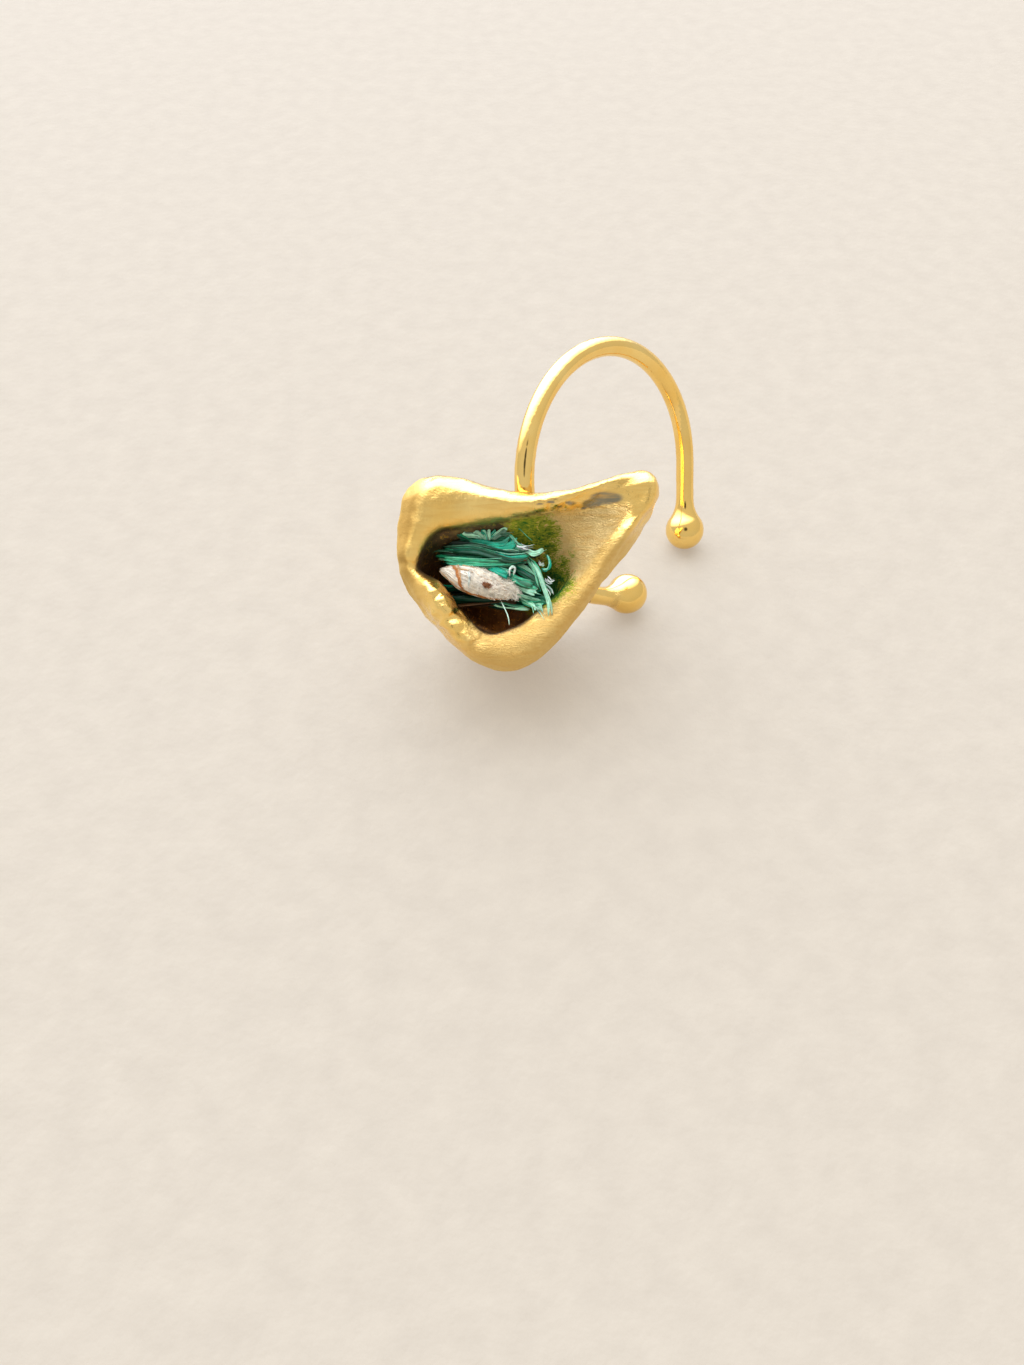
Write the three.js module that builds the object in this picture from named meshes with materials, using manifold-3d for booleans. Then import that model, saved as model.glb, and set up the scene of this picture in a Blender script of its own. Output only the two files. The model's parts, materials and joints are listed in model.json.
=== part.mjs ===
// Ear cuff: an open wire hoop with a ball on each end, soldered to the back of a hollow cast pod.
// The pod's mouth holds a tuft of frayed green rope with one white yarn in front of it.
// Units are millimetres and +Z is up. The cuff lies on a table as it rests by itself: on both
// balls and on a small flat under the pod. Seen from -Y and above, the mouth faces the viewer.
import * as THREE from "three";
import { mergeVertices } from "three/addons/utils/BufferGeometryUtils.js";
import Module from "manifold-3d";

// Wire hoop, measured on the wire's centre line
const wireDiameter = 1.0;
const hoopRadius = 6.81;
const hoopFacing = -39.4; // degrees from +X to the way that the hoop's axis points
const hoopLean = 26.5; // degrees that the hoop leans back from upright
const arcStart = -24.9; // degrees below level where the arc passes into the straight far end
const arcEnd = 252.4; // degrees at which the near end stops
const nearEndSplay = 0.31; // the near end is bent this far out of the hoop's plane
const nearEndOpening = 0.27; // and this far outwards in the hoop's plane
const bendLength = 40; // degrees of arc over which both bends grow
const ballDiameter = 2.3;
const ballWrap = 136; // degrees round the ball from its far side to where the neck starts
const neckLength = 0.8; // from the ball's surface to where the wire is bare
const neckHollow = 2.2; // how hollow the neck's outline is: 1 is a plain cone

// Cast pod, measured from the middle of its mouth
const podReach = 8.6; // from the middle of the mouth to the tip of the beak
const lipRise = 1.0; // height of the lip's crest over the plane of the mouth, at its highest
const lipRoundness = 2; // of the lip's outer side, as in the table
const mouthTilt = 52.6; // degrees that the mouth looks up from level
const mouthStandoff = 3.3; // from the wire's centre line out to the middle of the mouth
const mouthAlong = 1.1; // along the hoop's axis, from the hoop's plane to the same point
const mouthUp = 0.75; // up in the hoop's plane, from the hoop's centre to the same point
const seatBack = 2.4; // from the middle of the mouth back to the middle of the flat it stands on
const seatAcross = 0.1; // the same, to the right
const seatCut = 0.75; // depth of belly that the flat takes off
const bellyReach = 4.8; // from the seat out to the wall, for the round form that the belly tends to
const floorWall = 1.5; // metal between the table and the bottom of the hollow
const hollowBack = 0.9; // from the middle of the mouth back to the bottom of the hollow
const hollowAcross = -0.3; // the same, to the right
const footRoundness = 1.6; // of the walls where they come together below, as in the table

// Rope in the mouth
const ropeClearance = 0.3; // between rope and metal
const yarnClearance = 0.3; // between the green tuft and the white yarn

// The rope fills the mouth whatever the pod's size, so these are shares of podReach: how big the
// tuft's head and the yarn are (across, up and down into the mouth) and where their middles lie.
const headSpread = [0.675, 0.349, 0.419];
const headPlace = [-0.09, 0.03, 0.3];
const headLean = -6; // degrees in the mouth's plane
const yarnSpread = [0.488, 0.157, 0.151];
const yarnPlace = [-0.16, -0.085, 0.12];
const yarnLean = -17; // degrees in the mouth's plane
const lockFlatness = 0.8; // thickness of a lock of fibres, as a share of its width

// Fineness of the facets
const stepsPerSection = 4;
const wallRings = 9;
const lipOuterRings = 3;
const lipInnerRings = 5;
const hollowRings = 8;
const wireSides = 16;
const wireSteps = 56;
const ballSteps = 10;
const neckSteps = 4;
const eggSides = 28;
const eggRings = 18;
const lockSteps = 9;
const lockSides = 8;
const weldDistance = 1e-4; // points closer than this are one point

// Turns rows of bare numbers into rows with named columns.
function table(columns, rows) {
  return rows.map((row) => Object.fromEntries(columns.map((name, i) => [name, row[i]])));
}

// The pod's sections, a row for each, round the mouth from its right-hand side.
// angle is in degrees. outline and mouth are distances from the middle of the mouth, as shares
// of podReach. crest is where the lip is highest, as a share of the way from mouth to outline.
// The three rises are heights over the plane of the mouth, as shares of lipRise.
// lip is the roundness of the lip's inner side: 2 is round, 1 is straight.
// back is the same for the outer wall down to the table, and hollow for the wall inside.
// undercut is how far the hollow widens behind the mouth, as a share of its own width.
const podSections = table(
  ["angle", "outline", "outlineRise", "crest", "crestRise", "mouth", "mouthRise", "lip", "back", "hollow", "undercut"],
  [
    [0, 0.615, -0.9, 0.7, -0.1, 0.43, -1.4, 1.4, 1.4, 1.15, 0],
    [11, 0.725, -0.7, 0.8, 0.15, 0.425, -1.4, 1.25, 1.45, 1.15, 0],
    [19, 0.87, -0.5, 0.88, 0.4, 0.425, -1.4, 1.1, 1.5, 1.1, 0],
    [25, 0.995, -0.3, 0.9, 0.6, 0.425, -1.3, 1.0, 1.6, 1.1, 0],
    [30, 1.025, -0.1, 0.9, 0.7, 0.425, -1.2, 1.0, 1.7, 1.1, 0],
    [34.3, 1.0, -0.1, 0.9, 0.75, 0.42, -1.15, 1.0, 1.8, 1.1, 0],
    [38, 0.87, -0.2, 0.9, 0.8, 0.415, -1.1, 1.05, 1.9, 1.1, 0],
    [43, 0.71, -0.3, 0.86, 0.8, 0.4, -1.0, 1.2, 2.0, 1.1, 0],
    [51, 0.57, -0.3, 0.78, 0.75, 0.375, -0.8, 1.5, 2.1, 1.15, 0.02],
    [66, 0.476, -0.4, 0.68, 0.65, 0.31, -0.6, 1.8, 2.3, 1.2, 0.04],
    [86, 0.448, -0.4, 0.65, 0.6, 0.272, -0.5, 2.0, 2.4, 1.25, 0.06],
    [108, 0.523, -0.5, 0.6, 0.5, 0.268, -0.5, 2.0, 2.4, 1.3, 0.08],
    [126, 0.682, -0.7, 0.55, 0.35, 0.3, -0.6, 2.0, 2.2, 1.5, 0.12],
    [140, 0.741, -0.9, 0.5, 0.25, 0.36, -0.6, 2.0, 2.0, 1.7, 0.15],
    [153, 0.7, -1.0, 0.5, 0.1, 0.45, -0.7, 2.0, 1.9, 1.8, 0.16],
    [166, 0.662, -1.1, 0.5, 0.0, 0.49, -0.8, 2.0, 1.8, 1.7, 0.14],
    [178, 0.642, -1.1, 0.5, -0.1, 0.505, -0.9, 2.0, 1.7, 1.6, 0.1],
    [186, 0.6, -1.1, 0.55, -0.2, 0.46, -0.9, 2.0, 1.6, 1.5, 0.06],
    [196, 0.566, -1.1, 0.5, 0.0, 0.385, -0.6, 2.0, 1.5, 1.4, 0.05],
    [212, 0.533, -1.1, 0.5, 0.1, 0.366, -0.6, 2.0, 1.4, 1.35, 0.06],
    [232, 0.537, -1.2, 0.5, 0.0, 0.375, -0.7, 2.0, 1.3, 1.4, 0.08],
    [254, 0.58, -1.3, 0.5, -0.1, 0.412, -0.8, 2.0, 1.3, 1.5, 0.1],
    [275, 0.602, -1.3, 0.5, -0.1, 0.37, -0.8, 2.0, 1.25, 1.5, 0.1],
    [296, 0.553, -1.2, 0.55, 0.0, 0.337, -0.8, 2.0, 1.25, 1.4, 0.1],
    [318, 0.51, -1.1, 0.6, 0.0, 0.333, -0.8, 2.0, 1.3, 1.2, 0.05],
    [340, 0.535, -1.0, 0.62, -0.05, 0.37, -1.0, 1.8, 1.35, 1.15, 0],
  ],
);

// Drips and knocks on the lip. across and up place the middle on the mouth's plane and width is
// the size, as shares of podReach. rise is the height, as a share of lipRise, and a dent is below 0.
const lipMarks = table(
  ["across", "up", "width", "rise"],
  [
    [-0.43, -0.17, 0.055, 0.28],
    [-0.36, -0.25, 0.05, 0.3],
    [-0.31, -0.34, 0.045, 0.32],
    [-0.37, -0.35, 0.035, -0.25],
    [-0.25, -0.41, 0.05, 0.26],
    [-0.18, -0.46, 0.045, -0.22],
    [-0.14, -0.5, 0.05, 0.2],
    [-0.5, -0.045, 0.06, -0.16],
    [-0.5, 0.42, 0.11, 0.22],
    [0.42, 0.37, 0.06, -0.1],
    [0.72, 0.28, 0.07, -0.2],
  ],
);

// Locks of the frayed rope. Each runs from a start to an end through a middle that is raised by
// bow. Places are on the mouth's plane with depth below it, and all are shares of podReach.
const ropeLocks = table(
  ["startAcross", "startUp", "startDepth", "endAcross", "endUp", "endDepth", "bow", "width"],
  [
    [-0.36, 0.11, 0.18, 0.25, 0.14, 0.08, 0.04, 0.05],
    [-0.36, 0.05, 0.16, 0.22, 0.07, 0.09, 0.04, 0.055],
    [-0.3, 0.15, 0.2, 0.14, 0.16, 0.12, 0.03, 0.05],
    [-0.28, 0.0, 0.16, 0.24, 0.01, 0.08, 0.03, 0.055],
    [0.04, 0.12, 0.2, -0.21, 0.25, 0.1, 0.03, 0.045],
    [0.08, 0.14, 0.2, -0.07, 0.26, 0.1, 0.02, 0.045],
    [-0.08, 0.0, 0.14, 0.22, -0.08, 0.08, 0.03, 0.055],
    [0.0, -0.04, 0.16, 0.23, -0.15, 0.1, 0.03, 0.05],
    [0.02, -0.1, 0.2, 0.2, -0.22, 0.14, 0.03, 0.05],
    [0.12, 0.04, 0.16, 0.26, -0.24, 0.1, 0.03, 0.04],
    [-0.08, -0.1, 0.26, 0.1, -0.2, 0.2, 0.02, 0.045],
  ],
);

const wasm = await Module();
wasm.setup();

const radians = THREE.MathUtils.degToRad;

// A closed three.js geometry as a manifold-3d solid.
function solidFrom(geometry) {
  const bare = geometry.clone();
  bare.deleteAttribute("normal");
  bare.deleteAttribute("uv");
  const merged = mergeVertices(bare, weldDistance);
  return new wasm.Manifold(
    new wasm.Mesh({
      numProp: 3,
      vertProperties: merged.attributes.position.array,
      triVerts: new Uint32Array(merged.index.array),
    }),
  );
}

// A manifold-3d solid back as a three.js geometry.
function geometryFrom(solid) {
  const mesh = solid.getMesh();
  const geometry = new THREE.BufferGeometry();
  geometry.setAttribute("position", new THREE.BufferAttribute(mesh.vertProperties, 3));
  geometry.setIndex(new THREE.BufferAttribute(mesh.triVerts, 1));
  geometry.computeVertexNormals();
  return geometry;
}

// A closed skin over a stack of rings that all have as many points, with a point at each end.
// The rings turn anticlockwise seen from the end of the stack.
function skin(startPoint, rings, endPoint) {
  const count = rings[0].length;
  const points = [startPoint, ...rings.flat(), endPoint];
  const at = (ring, i) => 1 + ring * count + (i % count);
  const faces = [];
  for (let i = 0; i < count; i++) {
    faces.push(0, at(0, i + 1), at(0, i));
    for (let ring = 0; ring + 1 < rings.length; ring++) {
      faces.push(at(ring, i), at(ring, i + 1), at(ring + 1, i + 1));
      faces.push(at(ring, i), at(ring + 1, i + 1), at(ring + 1, i));
    }
    faces.push(at(rings.length - 1, i), at(rings.length - 1, i + 1), points.length - 1);
  }
  const geometry = new THREE.BufferGeometry().setFromPoints(points);
  geometry.setIndex(faces);
  return geometry;
}

// The hoop's own axes: out is level and points away from the pod, up lies in the hoop's plane,
// and axis is the way that the hoop faces.
const axis = new THREE.Vector3().setFromSphericalCoords(
  1,
  radians(90 - hoopLean),
  radians(hoopFacing + 90),
);
axis.set(axis.x, -axis.z, axis.y);
const out = new THREE.Vector3(0, 0, 1).cross(axis).normalize();
const up = new THREE.Vector3().crossVectors(axis, out);

// Both balls stand on the table, so the near end fixes the hoop's height and the far end is as
// long as it takes to come down to the same level.
const ballRadius = ballDiameter / 2;
const nearEndDrop =
  (hoopRadius + nearEndOpening) * Math.sin(radians(arcEnd)) + (nearEndSplay * axis.z) / up.z;
const straightLength =
  (hoopRadius * Math.sin(radians(arcStart)) - nearEndDrop) / Math.cos(radians(arcStart));
const arcLength = hoopRadius * radians(arcEnd - arcStart);
const wireLength = straightLength + arcLength;
const hoopCentre = new THREE.Vector3(0, 0, ballRadius - nearEndDrop * up.z);

// The wire's centre line, from the far ball over the top to the near ball. Past either end it
// runs on without a bend, to carry the outer half of the ball.
class HoopLine extends THREE.Curve {
  getPoint(distance) {
    const along = Math.min(distance, wireLength) - straightLength;
    const degrees = arcStart + THREE.MathUtils.radToDeg(Math.max(along, 0) / hoopRadius);
    const turn = radians(degrees);
    const bend = Math.max(0, 1 - (arcEnd - degrees) / bendLength) ** 2;
    const radius = hoopRadius + nearEndOpening * bend;
    const forwards = Math.min(along, 0) + Math.max(distance - wireLength, 0);
    return hoopCentre
      .clone()
      .addScaledVector(out, radius * Math.cos(turn) - Math.sin(turn) * forwards)
      .addScaledVector(up, radius * Math.sin(turn) + Math.cos(turn) * forwards)
      .addScaledVector(axis, nearEndSplay * bend);
  }
}

// Where the rings of one end lie, from the ball's far side up to the bare wire: each is a
// distance from the ball's middle along the wire, and a radius.
function ballStations() {
  const wireRadius = wireDiameter / 2;
  const stations = [];
  for (let i = 1; i <= ballSteps; i++) {
    const turn = (radians(ballWrap) * i) / ballSteps;
    stations.push([-ballRadius * Math.cos(turn), ballRadius * Math.sin(turn)]);
  }
  const [start, startRadius] = stations.at(-1);
  for (let i = 1; i <= neckSteps; i++) {
    const share = i / neckSteps;
    const on = start + (ballRadius + neckLength - start) * share;
    stations.push([on, wireRadius + (startRadius - wireRadius) * (1 - share) ** neckHollow]);
  }
  return stations;
}

// The wire with its two balls as one closed skin round the centre line.
function wire() {
  const line = new HoopLine();
  const ends = ballStations();
  const bareStart = ballRadius + neckLength;
  const bareLength = wireLength - 2 * bareStart;
  const bare = Array.from({ length: wireSteps - 1 }, (_, i) => [
    bareStart + (bareLength * (i + 1)) / wireSteps,
    wireDiameter / 2,
  ]);
  const nearEnds = ends.map(([on, radius]) => [wireLength - on, radius]).reverse();
  const rings = [...ends, ...bare, ...nearEnds].map(([distance, radius]) => {
    const centre = line.getPoint(distance);
    const ahead = line.getPoint(distance + wireDiameter / 8).sub(centre);
    const side = new THREE.Vector3().crossVectors(axis, ahead).normalize();
    const top = new THREE.Vector3().crossVectors(ahead, side).normalize();
    return Array.from({ length: wireSides }, (_, i) => {
      const turn = (2 * Math.PI * i) / wireSides;
      return centre
        .clone()
        .addScaledVector(side, radius * Math.cos(turn))
        .addScaledVector(top, radius * Math.sin(turn));
    });
  });
  return solidFrom(
    skin(line.getPoint(-ballRadius), rings, line.getPoint(wireLength + ballRadius)),
  );
}

// The pod's own axes: across is to the right, rise lies in the mouth's plane and face is the way
// that the mouth looks.
const tilt = radians(mouthTilt);
const across = new THREE.Vector3(1, 0, 0);
const rise = new THREE.Vector3(0, Math.sin(tilt), Math.cos(tilt));
const face = new THREE.Vector3(0, -Math.cos(tilt), Math.sin(tilt));
const mouthMiddle = hoopCentre
  .clone()
  .addScaledVector(out, -hoopRadius - mouthStandoff)
  .addScaledVector(axis, mouthAlong)
  .addScaledVector(up, mouthUp);

// A point given on the mouth's plane, with its height over that plane.
function onMouth(a, b, c) {
  return mouthMiddle
    .clone()
    .addScaledVector(across, a)
    .addScaledVector(rise, b)
    .addScaledVector(face, c);
}

// The section at a place between two rows of the table: a smooth curve through four rows.
function sectionAt(place) {
  const count = podSections.length;
  const first = Math.floor(place);
  const t = place - first;
  const rows = [-1, 0, 1, 2].map((step) => {
    const i = first + step;
    const row = podSections[((i % count) + count) % count];
    return { ...row, angle: row.angle + 360 * Math.floor(i / count) };
  });
  const mixed = {};
  for (const name of Object.keys(podSections[0])) {
    const [p, q, r, s] = rows.map((row) => row[name]);
    mixed[name] =
      q + (t / 2) * (r - p + t * (2 * p - 5 * q + 4 * r - s + t * (3 * (q - r) + s - p)));
  }
  return mixed;
}

// All sections round the mouth, with the points that the skin passes through.
function podOutlines() {
  const sections = [];
  for (let i = 0; i < podSections.length * stepsPerSection; i++) {
    const s = sectionAt(i / stepsPerSection);
    const turn = radians(s.angle);
    const crest = s.mouth + (s.outline - s.mouth) * s.crest;
    const put = (distance, height) =>
      onMouth(
        distance * podReach * Math.cos(turn),
        distance * podReach * Math.sin(turn),
        height * lipRise,
      );
    sections.push({ ...s, crest, put });
  }
  return sections;
}

// A quarter of a rounded curve: how far across and how far on, at a share of its length.
function quarter(share, roundness) {
  const turn = (share * Math.PI) / 2;
  return [Math.cos(turn) ** (2 / roundness), Math.sin(turn) ** (2 / roundness)];
}

// The ring of points part way down a wall that falls from each section's edge to one point.
// Near that point all walls take on the same roundness. spread changes how far out a point lies.
function wallRing(sections, share, edgeOf, roundness, foot, spread) {
  return sections.map((s) => {
    const edge = edgeOf(s);
    const mixed = THREE.MathUtils.lerp(s[roundness], footRoundness, share ** 2);
    const [straight, down] = quarter(share, mixed);
    const near = spread(s, share, straight);
    return new THREE.Vector3(
      foot.x + (edge.x - foot.x) * near,
      foot.y + (edge.y - foot.y) * near,
      edge.z + (foot.z - edge.z) * down,
    );
  });
}

// The ring of points part way over the lip, between two distances and two heights.
function lipRing(sections, share, roundness, distances, heights) {
  return sections.map((s) => {
    const [near, on] = quarter(share, roundness(s));
    const [from, to] = distances(s);
    const [low, high] = heights(s);
    return s.put(to + (from - to) * near, low + (high - low) * on);
  });
}

// The belly has less and less of the outline's corners towards the table.
function roundBelly(s, share, near) {
  return near * THREE.MathUtils.lerp(1, bellyReach / (s.outline * podReach), share ** 2);
}

// The hollow widens behind the mouth.
function widenHollow(s, share, near) {
  return near + s.undercut * Math.sin(Math.PI * share);
}

const seat = new THREE.Vector3(mouthMiddle.x + seatAcross, mouthMiddle.y + seatBack, -seatCut);
const hollowFoot = new THREE.Vector3(
  mouthMiddle.x + hollowAcross,
  mouthMiddle.y + hollowBack,
  floorWall,
);
const shares = (count, from = 1) =>
  Array.from({ length: count }, (_, i) => (i + from) / count);

// Moves the points of a lip ring where a drip or a knock lies.
function markLip(point, normal) {
  const offset = point.clone().sub(mouthMiddle);
  const a = offset.dot(across) / podReach;
  const b = offset.dot(rise) / podReach;
  let height = 0;
  for (const mark of lipMarks) {
    const distance = Math.hypot(a - mark.across, b - mark.up) / mark.width;
    height += mark.rise * Math.exp(-distance * distance);
  }
  return point.addScaledVector(normal, height * lipRise);
}

// The hollow pod: up the outer wall, over the lip and down into the hollow.
function pod() {
  const sections = podOutlines();
  const outlineOf = (s) => s.put(s.outline, s.outlineRise);
  const mouthOf = (s) => s.put(s.mouth, s.mouthRise);
  const outer = shares(wallRings, 0)
    .reverse()
    .map((share) => wallRing(sections, share, outlineOf, "back", seat, roundBelly));
  const outerLip = shares(lipOuterRings).map((share) =>
    lipRing(
      sections,
      share,
      () => lipRoundness,
      (s) => [s.outline, s.crest],
      (s) => [s.outlineRise, s.crestRise],
    ),
  );
  const innerLip = shares(lipInnerRings)
    .map((share) =>
      lipRing(
        sections,
        1 - share,
        (s) => s.lip,
        (s) => [s.mouth, s.crest],
        (s) => [s.mouthRise, s.crestRise],
      ),
    );
  const inner = shares(hollowRings)
    .slice(0, -1)
    .map((share) => wallRing(sections, share, mouthOf, "hollow", hollowFoot, widenHollow));
  const lip = [outer.at(-1), ...outerLip, ...innerLip];
  const around = sections.length;
  const marked = lip.map((ring, j) =>
    ring.map((point, i) => {
      const next = ring[(i + 1) % around];
      const before = ring[(i + around - 1) % around];
      const ahead = (lip[j + 1] ?? inner[0])[i];
      const behind = (lip[j - 1] ?? outer.at(-2))[i];
      const along = next.clone().sub(before);
      const normal = along.cross(ahead.clone().sub(behind)).normalize();
      return markLip(point.clone(), normal);
    }),
  );
  const rings = [...outer.slice(0, -1), ...marked, ...inner];
  return solidFrom(skin(seat, rings, hollowFoot));
}

// The room in the mouth that the rope may fill, kept clear of the metal.
function mouthRoom() {
  const sections = podOutlines();
  const narrow = ropeClearance / podReach;
  const mouthOf = (s) => s.put(s.mouth - narrow, s.mouthRise);
  const foot = hollowFoot.clone().add(new THREE.Vector3(0, 0, ropeClearance));
  const throat = shares(hollowRings)
    .slice(0, -1)
    .reverse()
    .map((share) => wallRing(sections, share, mouthOf, "hollow", foot, widenHollow));
  const mouth = sections.map(mouthOf);
  const brim = sections.map((s) => s.put(s.mouth - narrow, lipRise));
  return solidFrom(skin(foot, [...throat, mouth, brim], onMouth(0, 0, lipRise)));
}

// An egg-shaped solid in the mouth, with its sizes as shares of podReach. grow is in millimetres.
function egg(place, spread, lean, grow = 0) {
  const geometry = new THREE.SphereGeometry(1, eggSides, eggRings);
  geometry.rotateZ(Math.PI / 2);
  const [x, y, z] = spread.map((share) => (share * podReach) / 2 + grow);
  geometry.scale(x, y, z);
  geometry.rotateZ(radians(lean));
  const [a, b, c] = place.map((share) => share * podReach);
  geometry.translate(a, b, -c);
  geometry.applyMatrix4(new THREE.Matrix4().makeBasis(across, rise, face).setPosition(mouthMiddle));
  return solidFrom(geometry);
}

// One flat lock of rope fibres that narrows towards both ends.
function lock(row) {
  const place = (a, b, depth) => onMouth(a * podReach, b * podReach, -depth * podReach);
  const start = place(row.startAcross, row.startUp, row.startDepth);
  const end = place(row.endAcross, row.endUp, row.endDepth);
  const middle = start.clone().lerp(end, 0.5).addScaledVector(face, row.bow * podReach * 2);
  const line = new THREE.QuadraticBezierCurve3(start, middle, end);
  const halfWidth = (row.width * podReach) / 2;
  const rings = [];
  for (let j = 1; j < lockSteps; j++) {
    const share = j / lockSteps;
    const centre = line.getPoint(share);
    const along = line.getTangent(share);
    const side = new THREE.Vector3().crossVectors(face, along).normalize();
    const top = new THREE.Vector3().crossVectors(along, side);
    const swell = Math.sin(Math.PI * share) ** 0.5;
    rings.push(
      Array.from({ length: lockSides }, (_, i) => {
        const turn = (2 * Math.PI * i) / lockSides;
        return centre
          .clone()
          .addScaledVector(side, halfWidth * swell * Math.cos(turn))
          .addScaledVector(top, halfWidth * swell * lockFlatness * Math.sin(turn));
      }),
    );
  }
  return solidFrom(skin(start, rings, end));
}

// Below the table there is nothing: what the seat's flat takes off.
function underTable() {
  const deep = 4 * seatCut;
  const wide = 4 * podReach;
  const block = new THREE.BoxGeometry(wide, wide, deep);
  block.translate(seat.x, seat.y, -deep / 2);
  return solidFrom(block);
}

const cuff = wire().add(pod()).subtract(underTable());

const room = mouthRoom();
const yarnSolid = (grow) => egg(yarnPlace, yarnSpread, yarnLean, grow);
const yarn = yarnSolid(0).intersect(room);
let tuft = egg(headPlace, headSpread, headLean);
for (const row of ropeLocks) tuft = tuft.add(lock(row));
tuft = tuft.intersect(room).subtract(yarnSolid(yarnClearance));

// A named mesh from a solid, in its own material.
function piece(name, solid, colour, roughness, metalness) {
  const material = new THREE.MeshStandardMaterial({ color: colour, roughness, metalness });
  const mesh = new THREE.Mesh(geometryFrom(solid), material);
  mesh.name = name;
  return mesh;
}

const earCuff = new THREE.Group();
earCuff.add(piece("cast_cuff", cuff, 0xe3b04b, 0.22, 1));
earCuff.add(piece("green_rope_tuft", tuft, 0x1f9c7c, 0.7, 0));
earCuff.add(piece("white_rope_yarn", yarn, 0xe9e0d2, 0.9, 0));

// The origin is on the table, under the middle of the cuff's outer box.
const box = new THREE.Box3().setFromObject(earCuff);
const middle = box.getCenter(new THREE.Vector3());
earCuff.position.set(-middle.x, -middle.y, 0);

export default earCuff;
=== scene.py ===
# %% [markdown]
# # An ear cuff with a pod full of frayed rope
#
# The real thing is a gold-plated wire hoop, open at the bottom, with a ball melted on each end.
# A hollow cast pod is soldered to it, and green rope is stuffed into the pod's mouth.
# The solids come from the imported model. This file makes what the eye sees: the smooth metal with
# its casting marks, the fibres of the rope, the stains in the hollow, and the light.

# %% Load the frame
import json
import math
import random

import bpy
import numpy as np
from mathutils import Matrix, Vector
from mathutils.bvhtree import BVHTree

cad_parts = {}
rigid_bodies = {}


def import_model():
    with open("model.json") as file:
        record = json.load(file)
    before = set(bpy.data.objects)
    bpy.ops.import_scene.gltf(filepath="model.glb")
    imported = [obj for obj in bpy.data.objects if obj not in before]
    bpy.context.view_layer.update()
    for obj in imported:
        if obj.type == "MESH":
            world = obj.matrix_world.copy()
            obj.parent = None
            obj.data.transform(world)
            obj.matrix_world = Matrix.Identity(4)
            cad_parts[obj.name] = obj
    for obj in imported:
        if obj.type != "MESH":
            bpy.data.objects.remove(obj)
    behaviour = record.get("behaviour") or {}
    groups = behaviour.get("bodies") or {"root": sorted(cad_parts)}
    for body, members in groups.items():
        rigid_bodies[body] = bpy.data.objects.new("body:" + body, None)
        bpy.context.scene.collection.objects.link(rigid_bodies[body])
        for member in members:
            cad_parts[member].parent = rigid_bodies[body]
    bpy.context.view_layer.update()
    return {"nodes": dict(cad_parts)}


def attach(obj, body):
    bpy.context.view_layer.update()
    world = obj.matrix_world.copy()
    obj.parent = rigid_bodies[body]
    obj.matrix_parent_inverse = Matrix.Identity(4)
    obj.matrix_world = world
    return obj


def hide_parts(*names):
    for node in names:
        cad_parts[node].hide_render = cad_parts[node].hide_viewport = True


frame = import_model()
MM = 0.001
print("nodes:", sorted(frame["nodes"]))

# %% [markdown]
# The camera stands in front of the cuff and looks down on it steeply, as the photograph does.
# It comes first, because every later choice is judged through it.

# %% Camera
CAMERA_PLACE = Vector((-2.939, -41.557, 45.77)) * MM
CAMERA_DOWN = 52.59  # degrees below level
FOCAL_PIXELS = 1027
FRAME_HEIGHT = 1365  # pixels
SENSOR_WIDTH = 36  # millimetres

camera_data = bpy.data.cameras.new("camera")
camera_data.sensor_width = SENSOR_WIDTH
camera_data.lens = SENSOR_WIDTH * FOCAL_PIXELS / FRAME_HEIGHT
camera_data.clip_start = MM
camera = bpy.data.objects.new("camera", camera_data)
camera.location = CAMERA_PLACE
camera.rotation_euler = (math.radians(90 - CAMERA_DOWN), 0, 0)
bpy.context.collection.objects.link(camera)
bpy.context.scene.camera = camera
bpy.context.scene.view_settings.view_transform = "Standard"
print("lens:", round(camera_data.lens, 2), "mm")

# %% [markdown]
# Most places on the pod are easiest to give on the plane of its mouth: across to the right, up
# along the plane, and out towards the viewer, all in millimetres from the middle of the mouth.

# %% The mouth's own axes
MOUTH_MIDDLE = np.array((-3.295, -5.372, 8.216))
MOUTH_TURN = math.radians(37.4)
MOUTH_AXES = np.array(
    (
        (1, 0, 0),
        (0, math.cos(MOUTH_TURN), math.sin(MOUTH_TURN)),
        (0, -math.sin(MOUTH_TURN), math.cos(MOUTH_TURN)),
    )
)


def from_mouth(points):
    """Places in the row frame, in metres, of points given on the mouth in millimetres."""
    return (np.asarray(points, float) @ MOUTH_AXES + MOUTH_MIDDLE) * MM


def to_mouth(points):
    """The opposite of from_mouth."""
    return (np.asarray(points) / MM - MOUTH_MIDDLE) @ MOUTH_AXES.T


def smooth_step(low, high, values):
    """0 at low and 1 at high, with a soft change between. Low may be the larger one."""
    share = np.clip((values - low) / (high - low), 0, 1)
    return share * share * (3 - 2 * share)


print("mouth's middle:", from_mouth([(0, 0, 0)])[0].round(5))

# %% [markdown]
# The metal starts as a copy of the solid. Its facets are merged, then a voxel remesh gives even
# small faces. A smooth modifier melts the facets away, which also leaves a soft fillet of solder
# where the wire meets the pod. Smoothing shrinks thin parts a little, so a displace modifier
# swells the skin by the same amount.

# %% Smooth metal
MERGE_WITHIN = 0.0005 * MM
VOXEL = 0.092 * MM
MELT_STEPS = 26
MELT_SHARE = 0.5
SWELL = 0.055 * MM


def only(piece):
    """Deselects everything else and makes the piece the active one."""
    bpy.ops.object.select_all(action="DESELECT")
    piece.select_set(True)
    bpy.context.view_layer.objects.active = piece


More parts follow.
